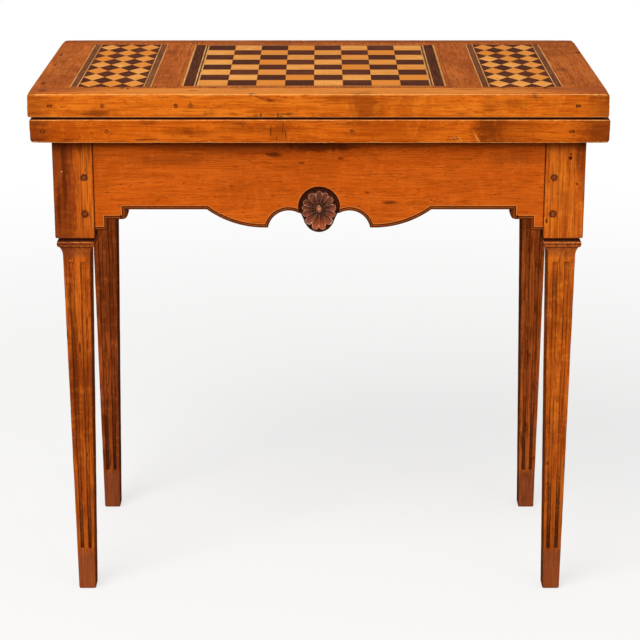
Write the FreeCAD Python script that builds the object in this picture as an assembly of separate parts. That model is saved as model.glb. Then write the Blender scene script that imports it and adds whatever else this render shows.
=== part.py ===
import FreeCAD, Part
import math
import os

# A games table whose top folds like a wallet: the upper leaf turns back on hinges along the
# rear edge, and both rear legs swing out on gates to carry it. Millimetres, +Z up, the front
# faces -Y, and the origin lies on the floor under the middle of the closed table.

# Overall sizes
table_height = 750.0
leaf_width = 790.0
leaf_depth = 432.0

# Clearances and cuts
cut_overrun = 5.0
glue_gap = 0.05
running_gap = 0.06
seat_gap = 0.3

# Leaves: boards with the grain front to back between a front rail and a back rail
leaf_thickness = 33.0
leaf_gap = 2.2
leaf_stagger = 1.0
leaf_arris_radius = 3.0
front_rail_width = 43.0
back_rail_width = 25.0
tongue_length = 9.0
tongue_thickness = 11.0
tongue_stop = 24.0

# Pins and keys driven through the front rails, as shares of half the leaf's width
edge_pin_radius = 3.2
edge_pin_length = 62.0
edge_key_width = 7.0
edge_key_height = 4.0
upper_pin_shares = (-0.741, -0.489, -0.438)
upper_key_shares = (-0.922, 0.892)
lower_pin_shares = (-0.734, 0.110)
lower_key_shares = (-0.956, 0.868)

# Baize lining on the inner faces
baize_thickness = 1.2
baize_recess_depth = 0.5
baize_side_margin = 43.0

# Hinges between the leaves
hinge_spacing = 270.0
hinge_length = 60.0
hinge_plate_width = 22.0
hinge_plate_thickness = 2.0
hinge_barrel_radius = 3.6
hinge_pin_radius = 1.6
hinge_axis_out = 0.3
hinge_knuckles = 5
hinge_screw_spacing = 36.0
hinge_screw_radius = 1.5
hinge_screw_head_radius = 3.0
hinge_screw_length = 18.0

# Inlay in the outer face of the upper leaf
inlay_thickness = 1.2
inlay_joint = 0.1
square_size = 40.0
squares_per_side = 8
chess_centre_x = -6.0
chess_centre_y = 4.5
string_width = 2.0
dark_band_width = 14.0
outer_line_width = 2.6
board_joint_margin = 5.4

# Lozenge panels
lozenge_width = 30.0
lozenge_length = 48.4
lozenges_across = 3
lozenges_along = 7
panel_centre_y = 3.5
left_panel_x = -286.0
right_panel_x = 281.0
panel_line_width = 1.4
panel_strip_width = 8.2

# Frame under the leaves
front_overhang = 26.0
side_overhang = 27.0
rear_overhang = 37.0
rear_leg_inset = 7.0

# Legs
leg_block = 56.0
leg_block_height = 141.0
neck_height = 3.6
neck_inset = 5.0
cap_height = 7.6
cap_inset = 1.2
cap_edge_inset = 2.8
cavetto_height = 15.0
cavetto_lip_inset = 4.0
cavetto_mid_share = 0.3
shaft_top_width = 39.0
foot_width = 25.0
foot_set_out = 2.5
foot_ease = 1.0
flute_top_margin = 10.6
plain_foot_height = 66.0
flute_width_share = 0.195
flute_offset_share = 0.21
flute_depth_share = 0.33

# Front and side aprons, depths measured down from the top of the frame
apron_set_back = 1.0
apron_thickness = 22.0
side_apron_thickness = 20.0
apron_end_depth = 130.0
apron_step_depth = 114.0
apron_straight_depth = 100.0
apron_step_width = 18.0
apron_nose_width = 28.0
apron_nose_round = 8.0
apron_nose_tuck = 3.0
curve_start_x = 156.0
curve_mid_x = 112.0
curve_mid_depth = 121.3
cusp_x = 71.0
cusp_depth = 126.0
arch_x = 47.0
arch_depth = 102.0
drop_shoulder_x = 25.3
drop_shoulder_depth = 107.0
drop_side_x = 19.5
drop_side_depth = 119.8
drop_depth = 133.5
bead_width = 4.0
quirk_width = 1.2
quirk_depth = 1.2

# Carved rosette in its sunk roundel
roundel_radius = 29.0
roundel_depth = 96.3
roundel_sink = 5.0
rosette_petals = 14
rosette_centre_depth = 98.8
rosette_radius = 22.6
rosette_lower_length = 29.0
rosette_thickness = 6.0
petal_bulge = 1.8
petal_groove_radius = 1.3
boss_half_width = 5.2
boss_half_height = 7.2
boss_height = 3.0
boss_round = 2.0

# Tenons and pegs
tenon_length = 30.0
tenon_thickness = 10.0
tenon_top_margin = 12.0
tenon_foot_margin = 8.0
peg_radius = 4.2
peg_edge_distance = 13.0
peg_cross_gap = 6.8
peg_upper_depth = 54.0
peg_lower_depth = 106.0

# Inner back rail and the hinge block of the gates
back_rail_thickness = 20.0
back_rail_height = 98.0
stub_tenon_length = 12.0
gate_pivot_x = 110.0
gate_rail_thickness = 22.0
gate_rail_gap = 1.6
gate_close_gap = 0.6
gate_head_gap = 0.5
gate_knuckles = 5
gate_knuckle_gap = 0.4
gate_swing = 90.0
gate_stop_slack = 1.0
gate_pin_radius = 3.0
gate_pin_end_gap = 1.0
gate_peg_end_margin = 4.0

# Glue blocks and wood screws
glue_block_length = 64.0
glue_block_size = 24.0
glue_block_chamfer = 7.0
glue_block_spacing = 300.0
wood_screw_radius = 2.2
wood_screw_head_radius = 4.4
wood_screw_length = 38.0
block_screw_spacing_x = 120.0
block_screw_spacing_z = 56.0

# Heights worked out from the sizes above
upper_top_z = table_height
upper_bottom_z = upper_top_z - leaf_thickness
lower_top_z = upper_bottom_z - leaf_gap
lower_bottom_z = lower_top_z - leaf_thickness
hinge_z = (upper_bottom_z + lower_top_z) / 2
frame_top_z = lower_bottom_z
gate_top_z = frame_top_z - gate_head_gap
block_bottom_z = frame_top_z - leg_block_height
cap_top_z = block_bottom_z - neck_height
cap_bottom_z = cap_top_z - cap_height
shaft_top_z = cap_bottom_z - cavetto_height
flute_top_z = shaft_top_z - flute_top_margin
straight_z = frame_top_z - apron_straight_depth

# Places across and along the table
hinge_proud = hinge_axis_out + hinge_barrel_radius
leaf_front_y = -(leaf_depth + hinge_proud) / 2
leaf_back_y = leaf_front_y + leaf_depth
leaf_centre_y = (leaf_front_y + leaf_back_y) / 2
hinge_y = leaf_back_y + hinge_axis_out
board_front_y = leaf_front_y + front_rail_width
board_back_y = leaf_back_y - back_rail_width
frame_half_width = leaf_width / 2 - side_overhang
block_inner_x = frame_half_width - leg_block
front_leg_x = frame_half_width - leg_block / 2
block_front_y = leaf_front_y + front_overhang
block_rear_y = block_front_y + leg_block
front_leg_y = block_front_y + leg_block / 2
apron_front_y = block_front_y + apron_set_back
apron_back_y = apron_front_y + apron_thickness
side_outer_x = frame_half_width - apron_set_back
side_inner_x = side_outer_x - side_apron_thickness
rear_leg_x = front_leg_x - rear_leg_inset
rear_leg_y = leaf_back_y - rear_overhang - leg_block / 2
rear_block_front_y = rear_leg_y - leg_block / 2
frame_back_y = rear_block_front_y - gate_close_gap
back_rail_front_y = frame_back_y - back_rail_thickness
gate_front_y = frame_back_y + gate_rail_gap
gate_back_y = gate_front_y + gate_rail_thickness
gate_pivot_y = (gate_front_y + gate_back_y) / 2

# Pegs stop short of the pegs that cross behind them, or of the block's far face
peg_length = leg_block - peg_edge_distance - peg_radius - peg_cross_gap
gate_peg_length = leg_block - gate_peg_end_margin

V = FreeCAD.Vector
ORIGIN = V(0, 0, 0)
ALONG_X = V(1, 0, 0)
ALONG_Y = V(0, 1, 0)
ALONG_Z = V(0, 0, 1)


def box(x0, x1, y0, y1, z0, z1, grow=0):
    """A block between two corners, made larger by grow on every side."""
    size = V(x1 - x0 + 2 * grow, y1 - y0 + 2 * grow, z1 - z0 + 2 * grow)
    return Part.makeBox(size.x, size.y, size.z, V(x0 - grow, y0 - grow, z0 - grow))


def rod(radius, start, end):
    """A round bar from one point to another."""
    along = end - start
    return Part.makeCylinder(radius, along.Length, start, along)


def fused(shapes):
    """One solid from pieces that meet."""
    return shapes[0].multiFuse(shapes[1:]).removeSplitter()


def without(shape, cuts):
    """A shape with every one of the cuts taken out of it."""
    return shape.cut(list(cuts))


def mirrored(shape):
    """The same shape on the other side of the table's middle."""
    return shape.mirror(ORIGIN, ALONG_X)


def prism(points, height):
    """A flat polygon pushed along by the height vector."""
    return Part.Face(Part.makePolygon(points + points[:1])).extrude(height)


def screw(radius, head_radius, start, end):
    """A countersunk wood screw whose flat head lies at start."""
    along = end - start
    head = Part.makeCone(head_radius, radius, head_radius - radius, start, along)
    return fused([rod(radius, start, end), head])


def save(node, shapes):
    """Write one node, a single solid or a group of separate solids."""
    shape = shapes[0] if len(shapes) == 1 else Part.makeCompound(shapes)
    shape.exportStep("parts/" + node + ".step")


def edge_between(start, middle, end):
    """A straight edge, or an arc where a middle point is given."""
    if middle is None:
        return Part.makeLine(start, end)
    return Part.Arc(start, middle, end).toShape()


def symmetric_face(start, path, bridge=None):
    """A face in the XZ plane: a path on the +X side, its mirror image and a bridge between.

    The path is a list of (middle, end) pairs that goes on from start.
    """
    def place(point, side):
        return point and V(side * point[0], 0, point[1])

    ends = [start] + [end for _, end in path]
    middles = [middle for middle, _ in path]
    edges = []
    for first, middle, last in zip(ends, middles, ends[1:]):
        edges.append(edge_between(place(first, 1), place(middle, 1), place(last, 1)))
        edges.append(edge_between(place(first, -1), place(middle, -1), place(last, -1)))
    edges.append(edge_between(place(ends[-1], 1), place(bridge, 1), place(ends[-1], -1)))
    edges.append(edge_between(place(start, 1), None, place(start, -1)))
    return Part.Face(Part.Wire(Part.__sortEdges__(edges)))


# Legs: block, neck, cap and cavetto worked on all four sides, and a fluted tapering shaft
def leg_head(top_z):
    """The moulded upper part of a leg, about the Z axis."""
    block = leg_block / 2
    shaft = shaft_top_width / 2
    lip = block - cavetto_lip_inset
    hollow = (shaft + (lip - shaft) * cavetto_mid_share, (shaft_top_z + cap_bottom_z) / 2)
    cap_edge = block - cap_edge_inset
    path = [
        (None, (block, block_bottom_z)),
        (None, (block - neck_inset, block_bottom_z)),
        (None, (cap_edge, cap_top_z)),
        ((block - cap_inset, (cap_top_z + cap_bottom_z) / 2), (cap_edge, cap_bottom_z)),
        (None, (lip, cap_bottom_z)),
        (hollow, (shaft, shaft_top_z)),
    ]
    one_way = symmetric_face((block, top_z), path).extrude(ALONG_Y * leg_block)
    one_way.translate(ALONG_Y * -block)
    other_way = one_way.copy()
    other_way.rotate(ORIGIN, ALONG_Z, 90)
    return one_way.common(other_way)


def shaft_centre(z, outward):
    """The middle of the shaft, which leans out a little towards the foot."""
    return V(outward * foot_set_out * (1 - z / shaft_top_z), 0, z)


def shaft_width(z):
    """The width of the shaft at a height."""
    return foot_width + (shaft_top_width - foot_width) * z / shaft_top_z


def shaft_section(z, outward, ease=0):
    """A square section of the shaft, as a wire."""
    half = shaft_width(z) / 2 - ease
    corners = [V(-half, -half, 0), V(half, -half, 0), V(half, half, 0), V(-half, half, 0)]
    centre = shaft_centre(z, outward)
    return Part.makePolygon([centre + corner for corner in corners + corners[:1]])


def flute_end(z, outward, face, side):
    """Centre and radius of the round cutter of one flute at a height."""
    width = shaft_width(z)
    chord = flute_width_share * width
    depth = flute_depth_share * chord
    radius = (chord * chord / 4 + depth * depth) / (2 * depth)
    across = ALONG_Z.cross(face)
    lift = width / 2 + radius - depth
    centre = shaft_centre(z, outward) + face * lift + across * (side * flute_offset_share * width)
    return centre, radius


def make_leg(x, y, top_z):
    """A whole leg with its flutes, before its mortises are cut."""
    outward = math.copysign(1, x)
    eased_foot = Part.makeLoft(
        [shaft_section(0, outward, foot_ease), shaft_section(foot_ease, outward)], True, True)
    shaft = Part.makeLoft(
        [shaft_section(foot_ease, outward), shaft_section(shaft_top_z, outward)], True, True)
    flutes = []
    for face in (ALONG_X, ALONG_Y, -ALONG_X, -ALONG_Y):
        for side in (-1, 1):
            top, top_radius = flute_end(flute_top_z, outward, face, side)
            foot, foot_radius = flute_end(plain_foot_height, outward, face, side)
            along = foot - top
            flutes.append(Part.makeCone(top_radius, foot_radius, along.Length, top, along))
    leg = without(fused([leg_head(top_z), shaft, eased_foot]), flutes)
    leg.translate(V(x, y, 0))
    return leg


# Aprons: stepped ends by the legs and a bead scratched along the lower edge
def stepped_end(span):
    """The lower outline of an apron's end, from the leg to its straight stretch."""
    low_z = frame_top_z - apron_end_depth
    step_z = frame_top_z - apron_step_depth
    step_x = span - apron_step_width
    nose_x = step_x - apron_nose_width
    nose_z = (step_z + straight_z) / 2
    return [
        (None, (span, low_z)),
        (None, (span - apron_step_width, low_z)),
        (None, (step_x, step_z)),
        (None, (nose_x + apron_nose_round, step_z)),
        ((nose_x, nose_z), (nose_x + apron_nose_tuck, straight_z)),
    ]


def front_outline(extra=0):
    """The front apron's outline; extra makes it longer and taller past the legs and the leaf."""
    low_z = frame_top_z - apron_end_depth
    path = stepped_end(block_inner_x)
    path[0] = (None, (block_inner_x + extra, low_z))
    path += [
        (None, (curve_start_x, straight_z)),
        ((curve_mid_x, frame_top_z - curve_mid_depth), (cusp_x, frame_top_z - cusp_depth)),
        ((arch_x, frame_top_z - arch_depth), (drop_shoulder_x, frame_top_z - drop_shoulder_depth)),
        (None, (drop_side_x, frame_top_z - drop_side_depth)),
    ]
    start = (block_inner_x + extra, frame_top_z + extra)
    return symmetric_face(start, path, (0, frame_top_z - drop_depth))


def side_outline(half_span, extra=0):
    """A side apron's outline, stepped at both ends and straight between."""
    low_z = frame_top_z - apron_end_depth
    path = stepped_end(half_span)
    path[0] = (None, (half_span + extra, low_z))
    return symmetric_face((half_span + extra, frame_top_z + extra), path)


def beaded_board(outline, thickness, *sizes):
    """An apron board with its outer face on the XZ plane and a quirk that sets off the bead."""
    board = outline(*sizes).extrude(ALONG_Y * thickness)
    drawn = outline(*sizes, bead_width * 2 + quirk_width)
    ring = drawn.makeOffset2D(-bead_width).cut(drawn.makeOffset2D(-bead_width - quirk_width))
    return board.cut(ring.extrude(ALONG_Y * quirk_depth))


tenon_top_z = frame_top_z - tenon_top_margin
tenon_foot_z = frame_top_z - apron_end_depth + tenon_foot_margin
apron_mid_y = (apron_front_y + apron_back_y) / 2
side_mid_x = (side_outer_x + side_inner_x) / 2
peg_heights = (frame_top_z - peg_upper_depth, frame_top_z - peg_lower_depth)


def front_tenon(grow=0):
    """The tenon on the right end of the front apron."""
    half = tenon_thickness / 2
    return box(block_inner_x, block_inner_x + tenon_length, apron_mid_y - half, apron_mid_y + half,
               tenon_foot_z, tenon_top_z, grow)


def side_tenon(grow=0):
    """The tenon on the front end of the right side apron."""
    half = tenon_thickness / 2
    return box(side_mid_x - half, side_mid_x + half, block_rear_y - tenon_length, block_rear_y,
               tenon_foot_z, tenon_top_z, grow)


def stub_tenon(grow=0):
    """The stub tenon on the right end of the inner back rail."""
    half = tenon_thickness / 2
    middle = (back_rail_front_y + frame_back_y) / 2
    return box(side_inner_x, side_inner_x + stub_tenon_length, middle - half, middle + half,
               frame_top_z - back_rail_height + tenon_foot_margin, tenon_top_z, grow)


def frame_pegs(radius):
    """Drawbore pegs of the right front leg: two from the front, two from the side."""
    pegs = []
    for z in peg_heights:
        front = V(block_inner_x + peg_edge_distance, block_front_y, z)
        pegs.append(rod(radius, front, front + ALONG_Y * peg_length))
        side = V(frame_half_width, block_rear_y - peg_edge_distance, z)
        pegs.append(rod(radius, side, side - ALONG_X * peg_length))
    return pegs


peg_holes = frame_pegs(peg_radius + glue_gap)
leg_cuts = [front_tenon(glue_gap), side_tenon(glue_gap)] + peg_holes
front_leg_right = without(make_leg(front_leg_x, front_leg_y, frame_top_z), leg_cuts)
front_leg_left = mirrored(front_leg_right)

# The front apron, with the sunk roundel that takes the rosette
apron = beaded_board(front_outline, apron_thickness)
apron.translate(ALONG_Y * apron_front_y)
roundel_z = frame_top_z - roundel_depth
roundel_floor_y = apron_front_y + roundel_sink
roundel_start = V(0, apron_front_y - cut_overrun, roundel_z)
roundel = rod(roundel_radius, roundel_start, V(0, roundel_floor_y, roundel_z))
drop_cut = box(-drop_shoulder_x, drop_shoulder_x, apron_front_y - cut_overrun, roundel_floor_y,
               frame_top_z - drop_depth - cut_overrun, roundel_z)
front_tenons = [front_tenon(), mirrored(front_tenon())]
front_apron = fused([without(apron, [roundel, drop_cut])] + front_tenons)
front_apron = without(front_apron, peg_holes + [mirrored(hole) for hole in peg_holes])

# The side aprons, from the front legs to the plane on which the gates close
side_length = frame_back_y - block_rear_y
side_board = beaded_board(side_outline, side_apron_thickness, side_length / 2)
side_board.rotate(ORIGIN, ALONG_Z, 90)
side_board.translate(V(side_outer_x, (block_rear_y + frame_back_y) / 2, 0))
side_apron_right = fused([side_board, side_tenon()])
side_apron_right = without(side_apron_right, [stub_tenon(glue_gap)] + peg_holes)
side_apron_left = mirrored(side_apron_right)


# Rosette: petals round an oval boss, longer towards the drop of the apron
def rosette_reach(angle):
    """Distance from the boss to the tip of the flower in one direction."""
    down = rosette_lower_length if math.sin(angle) < 0 else rosette_radius
    return 1 / math.hypot(math.cos(angle) / rosette_radius, math.sin(angle) / down)


def rosette_point(angle, reach):
    """A point on the rosette's back plane."""
    centre_z = frame_top_z - rosette_centre_depth
    return V(reach * math.cos(angle), roundel_floor_y, centre_z + reach * math.sin(angle))


def make_rosette():
    """The carved flower: scalloped petals, grooves between them and a rounded boss."""
    step = 2 * math.pi / rosette_petals
    rim = []
    grooves = []
    out = -ALONG_Y * rosette_thickness
    for petal in range(rosette_petals):
        tip = math.pi / 2 + petal * step
        start, end = tip - step / 2, tip + step / 2
        rim.append(Part.Arc(
            rosette_point(start, rosette_reach(start)),
            rosette_point(tip, rosette_reach(tip) + petal_bulge),
            rosette_point(end, rosette_reach(end))).toShape())
        inner = rosette_point(start, boss_half_width) + out
        outer = rosette_point(start, rosette_reach(start) + cut_overrun) + out
        grooves.append(rod(petal_groove_radius, inner, outer))
    flower = Part.Face(Part.Wire(rim)).extrude(out)
    centre = rosette_point(0, 0)
    oval = Part.Ellipse(centre + V(0, 0, boss_half_height), centre + ALONG_X * boss_half_width, centre)
    boss = Part.Face(Part.Wire(oval.toShape())).extrude(-ALONG_Y * (rosette_thickness + boss_height))
    tip_y = roundel_floor_y - rosette_thickness - boss_height
    crown = [edge for edge in boss.Edges if abs(edge.CenterOfMass.y - tip_y) < boss_round / 2]
    return fused([without(flower, grooves), boss.makeFillet(boss_round, crown)])


# Inner back rail and the hinge block on its back
back_rail_foot_z = frame_top_z - back_rail_height
back_rail = box(-side_inner_x, side_inner_x, back_rail_front_y, frame_back_y,
                back_rail_foot_z, frame_top_z)
back_rail = fused([back_rail, stub_tenon(), mirrored(stub_tenon())])

gate_foot_z = gate_top_z - back_rail_height
knuckle_height = (gate_top_z - gate_foot_z) / gate_knuckles
knuckle_radius = gate_rail_thickness / 2
wedge_angle = math.radians((180 - gate_swing - gate_stop_slack) / 2)


def knuckle_levels(remainder):
    """Lower and upper ends of every other knuckle, from the foot of the gate."""
    levels = [gate_foot_z + knuckle_height * k for k in range(gate_knuckles)]
    return [(z, z + knuckle_height) for k, z in enumerate(levels) if k % 2 == remainder]


def pivot_rod(radius, low_z, high_z):
    """A round bar about the pivot of the right gate."""
    return rod(radius, V(gate_pivot_x, gate_pivot_y, low_z), V(gate_pivot_x, gate_pivot_y, high_z))


def knuckled(length, toward, own, other):
    """A bar that ends in wooden knuckles about the right pivot.

    toward is 1 for the gate's rail and -1 for the fixed block; own and other are the levels
    of its own knuckles and of those that it leaves room for.
    """
    half = knuckle_radius
    shoulder = half / math.tan(wedge_angle)
    plan = [(0, 0), (shoulder, half), (length, half), (length, -half), (shoulder, -half)]
    points = [V(gate_pivot_x + toward * x, gate_pivot_y + y, gate_foot_z) for x, y in plan]
    bar = prism(points, ALONG_Z * (gate_top_z - gate_foot_z))
    slack = gate_knuckle_gap / 2
    room = [pivot_rod(knuckle_radius + gate_knuckle_gap, low - slack, high + slack)
            for low, high in other]
    barrels = [pivot_rod(knuckle_radius, low + slack, high - slack) for low, high in own]
    bore = pivot_rod(gate_pin_radius + running_gap, gate_foot_z - cut_overrun, gate_top_z + cut_overrun)
    return without(fused([without(bar, room)] + barrels), [bore])


block_levels = knuckle_levels(0)
rail_levels = knuckle_levels(1)
block_end = knuckled(gate_pivot_x, -1, block_levels, rail_levels)
block_core_x = gate_pivot_x - knuckle_radius * 2
block_core = box(-block_core_x, block_core_x, frame_back_y, gate_back_y, gate_foot_z, gate_top_z)
hinge_block = fused([block_core, block_end, mirrored(block_end)])
gate_pin = pivot_rod(gate_pin_radius, gate_foot_z + gate_pin_end_gap, gate_top_z - gate_pin_end_gap)

gate_mid_z = (gate_foot_z + gate_top_z) / 2
block_screw_places = [
    V(side * block_screw_spacing_x / 2, gate_back_y, gate_mid_z + up * block_screw_spacing_z / 2)
    for side in (-1, 1) for up in (-1, 1)]


def hinge_block_screws(grow=0):
    """Screws through the hinge block into the inner back rail."""
    return [screw(wood_screw_radius + grow, wood_screw_head_radius + grow, place,
                  place - ALONG_Y * wood_screw_length) for place in block_screw_places]


hinge_block = without(hinge_block, hinge_block_screws(glue_gap))

# Gates: a fly rail on the knuckles with a rear leg tenoned and pegged to its end
rear_inner_x = rear_leg_x - leg_block / 2
gate_length = rear_inner_x - gate_pivot_x


def gate_tenon(grow=0):
    """The tenon of the fly rail in the right rear leg."""
    half = tenon_thickness / 2
    return box(rear_inner_x, rear_inner_x + tenon_length, gate_pivot_y - half, gate_pivot_y + half,
               gate_foot_z + tenon_foot_margin, gate_top_z - tenon_top_margin, grow)


def gate_pegs(radius):
    """Drawbore pegs from the back of the right rear leg."""
    heights = (frame_top_z - peg_upper_depth, gate_foot_z + tenon_foot_margin + peg_edge_distance)
    starts = [V(rear_inner_x + peg_edge_distance, rear_leg_y + leg_block / 2, z) for z in heights]
    return [rod(radius, start, start - ALONG_Y * gate_peg_length) for start in starts]


gate_peg_holes = gate_pegs(peg_radius + glue_gap)
fly_rail = fused([knuckled(gate_length, 1, rail_levels, block_levels), gate_tenon()])
fly_rail = without(fly_rail, gate_peg_holes)
rear_leg = without(make_leg(rear_leg_x, rear_leg_y, gate_top_z), [gate_tenon(glue_gap)] + gate_peg_holes)


# Glue blocks inside the frame, each with a screw up into the lower leaf
def glue_block(corner, along, inward):
    """A block in the corner between an apron and the leaf, and where its screw goes."""
    size = glue_block_size
    slope = size - glue_block_chamfer
    plan = [(0, 0), (size, 0), (size, slope), (slope, size), (0, size)]
    first = corner - along * (glue_block_length / 2)
    points = [first + inward * across - ALONG_Z * down for across, down in plan]
    place = corner + inward * (slope / 2) - ALONG_Z * size
    return prism(points, along * glue_block_length), place


half_spacing = glue_block_spacing / 2
side_mid_y = (block_rear_y + back_rail_front_y) / 2
block_seats = [
    (V(-half_spacing, apron_back_y, frame_top_z), ALONG_X, ALONG_Y),
    (V(half_spacing, apron_back_y, frame_top_z), ALONG_X, ALONG_Y),
    (V(-half_spacing, back_rail_front_y, frame_top_z), ALONG_X, -ALONG_Y),
    (V(half_spacing, back_rail_front_y, frame_top_z), ALONG_X, -ALONG_Y),
    (V(-side_inner_x, side_mid_y, frame_top_z), ALONG_Y, ALONG_X),
    (V(side_inner_x, side_mid_y, frame_top_z), ALONG_Y, -ALONG_X),
]
seated_blocks = [glue_block(*seat) for seat in block_seats]


def leaf_screws(grow=0):
    """Screws through the glue blocks into the lower leaf."""
    return [screw(wood_screw_radius + grow, wood_screw_head_radius + grow, place,
                  place + ALONG_Z * wood_screw_length) for _, place in seated_blocks]


leaf_screw_holes = leaf_screws(glue_gap)
glue_blocks = [without(block, [hole]) for (block, _), hole in zip(seated_blocks, leaf_screw_holes)]


# Hinges between the leaves: plates let into the rear edges, knuckles about one pin
hinge_places = (-hinge_spacing, 0, hinge_spacing)


def hinge_rod(radius, x0, x1):
    """A round bar about the hinge axis."""
    return rod(radius, V(x0, hinge_y, hinge_z), V(x1, hinge_y, hinge_z))


def plate_screws(x, up, grow=0):
    """Screws of one hinge plate, driven into the leaf's rear edge."""
    z = hinge_z + up * hinge_plate_width / 2
    starts = [V(x + side * hinge_screw_spacing / 2, leaf_back_y, z) for side in (-1, 1)]
    return [screw(hinge_screw_radius + grow, hinge_screw_head_radius + grow, start,
                  start - ALONG_Y * hinge_screw_length) for start in starts]


def plate_blank(x, up, grow=0):
    """A hinge plate without its knuckles, above the axis where up is 1 and below it where -1."""
    near, far = hinge_z + up * seat_gap, hinge_z + up * hinge_plate_width
    half = hinge_length / 2
    return box(x - half, x + half, leaf_back_y - hinge_plate_thickness, leaf_back_y,
               min(near, far), max(near, far), grow)


def hinge_plate(x, up):
    """A hinge plate with its knuckles: the lower one has the outer knuckles."""
    step = hinge_length / hinge_knuckles
    slack = seat_gap / 2
    plate = plate_blank(x, up)
    barrels = []
    room = []
    for k in range(hinge_knuckles):
        x0 = x - hinge_length / 2 + step * k
        x1 = x0 + step
        if (k % 2 == 0) == (up < 0):
            barrels.append(hinge_rod(hinge_barrel_radius, x0 + slack, x1 - slack))
        else:
            room.append(hinge_rod(hinge_barrel_radius + seat_gap, x0 - slack, x1 + slack))
    bore = hinge_rod(hinge_pin_radius + running_gap, x - hinge_length, x + hinge_length)
    shape = fused([without(plate, room)] + barrels)
    return without(shape, [bore] + plate_screws(x, up, glue_gap))


def hinge_recesses(up):
    """Everything that the hinges and their screws take out of one leaf."""
    cuts = []
    for x in hinge_places:
        half = hinge_length / 2 + seat_gap
        cuts.append(plate_blank(x, up, glue_gap))
        cuts.append(hinge_rod(hinge_barrel_radius + seat_gap, x - half, x + half))
        cuts += plate_screws(x, up, glue_gap)
    return cuts


# Leaves
chess_half = square_size * squares_per_side / 2
chess_border = 2 * string_width
chess_half_y = chess_half + chess_border
band_start = chess_half + 3 * string_width
chess_half_x = band_start + dark_band_width + outer_line_width
upper_centre_x = -leaf_stagger
lower_centre_x = leaf_stagger
chess_x = upper_centre_x + chess_centre_x
chess_y = leaf_centre_y + chess_centre_y
panel_y = leaf_centre_y + panel_centre_y
panel_half_x = lozenge_width * lozenges_across / 2
panel_half_y = lozenge_length * lozenges_along / 2
panel_outer_x = panel_half_x + 2 * panel_line_width + panel_strip_width
board_joints = (chess_centre_x - chess_half_x - board_joint_margin,
                chess_centre_x + chess_half_x + board_joint_margin)


def make_leaf(centre_x, bottom_z, pins, keys, facing, cuts):
    """A leaf as its front rail, back rail and three boards, cut for everything let into it.

    facing is the side that the baize is on: 1 for the lower leaf's top, -1 for the upper
    leaf's underside.
    """
    left, right = centre_x - leaf_width / 2, centre_x + leaf_width / 2
    top_z = bottom_z + leaf_thickness
    middle_z = (bottom_z + top_z) / 2
    blank = box(left, right, leaf_front_y, leaf_back_y, bottom_z, top_z)
    blank = blank.makeFillet(leaf_arris_radius, blank.Edges)
    tongue_low_z = middle_z - tongue_thickness / 2
    tongue_high_z = middle_z + tongue_thickness / 2

    def tongue(x0, x1, grow=0):
        starts = (board_front_y - tongue_length, board_back_y)
        return [box(x0, x1, y, y + tongue_length, tongue_low_z, tongue_high_z, grow) for y in starts]

    inner_z = top_z if facing > 0 else bottom_z
    floor_z = inner_z - facing * baize_recess_depth
    open_z = inner_z + facing * cut_overrun
    recess = box(left + baize_side_margin, right - baize_side_margin, board_front_y, board_back_y,
                 min(floor_z, open_z), max(floor_z, open_z))
    lining_z = floor_z + facing * baize_thickness
    lining = box(left + baize_side_margin + seat_gap, right - baize_side_margin - seat_gap,
                 board_front_y + seat_gap, board_back_y - seat_gap,
                 min(floor_z, lining_z), max(floor_z, lining_z))
    driven = edge_pins(centre_x, middle_z, pins, keys)
    pin_holes = edge_pins(centre_x, middle_z, pins, keys, glue_gap)
    grooves = tongue(left + tongue_stop, right - tongue_stop, glue_gap)
    rail_cuts = grooves + pin_holes + cuts
    far_left, far_right = left - cut_overrun, right + cut_overrun
    low, high = bottom_z - cut_overrun, top_z + cut_overrun
    front_zone = box(far_left, far_right, leaf_front_y - cut_overrun, board_front_y, low, high)
    back_zone = box(far_left, far_right, board_back_y, leaf_back_y + cut_overrun, low, high)
    front_rail = without(blank.common(front_zone), rail_cuts)
    back_rail = without(blank.common(back_zone), rail_cuts)
    ends = [left, centre_x + board_joints[0], centre_x + board_joints[1], right]
    stops = [left + tongue_stop + seat_gap] + ends[1:3] + [right - tongue_stop - seat_gap]
    boards = []
    for k in range(len(ends) - 1):
        zone = box(ends[k], ends[k + 1], board_front_y, board_back_y, low, high)
        board = fused([blank.common(zone)] + tongue(stops[k], stops[k + 1]))
        boards.append(without(board, [recess] + pin_holes + cuts))
    return front_rail, back_rail, boards, driven, lining


def edge_pins(centre_x, z, pins, keys, grow=0):
    """Round pins and flat keys driven in from the front edge of a leaf."""
    half_width = leaf_width / 2
    driven = []
    for share in pins:
        start = V(centre_x + share * half_width, leaf_front_y, z)
        driven.append(rod(edge_pin_radius + grow, start, start + ALONG_Y * edge_pin_length))
    for share in keys:
        left = centre_x + share * half_width - edge_key_width / 2
        foot = z - edge_key_height / 2
        driven.append(box(left, left + edge_key_width, leaf_front_y, leaf_front_y + edge_pin_length,
                          foot, foot + edge_key_height, grow))
    return driven


# Inlay: everything lies in shallow recesses, flush with the top
inlay_floor_z = upper_top_z - inlay_thickness


def tile(x0, x1, y0, y1):
    """A rectangle of veneer, with half a joint off each side."""
    joint = inlay_joint / 2
    return box(x0 + joint, x1 - joint, y0 + joint, y1 - joint, inlay_floor_z, upper_top_z)


def inlay_recess(x, y, half_x, half_y):
    """The shallow recess that one panel of inlay is laid in."""
    return box(x - half_x, x + half_x, y - half_y, y + half_y, inlay_floor_z, upper_top_z + cut_overrun)


def chess_squares(shade):
    """Every other square of the board; the front left square has shade 0."""
    left, front = chess_x - chess_half, chess_y - chess_half
    return [tile(left + square_size * i, left + square_size * (i + 1),
                 front + square_size * j, front + square_size * (j + 1))
            for i in range(squares_per_side) for j in range(squares_per_side) if (i + j) % 2 == shade]


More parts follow.
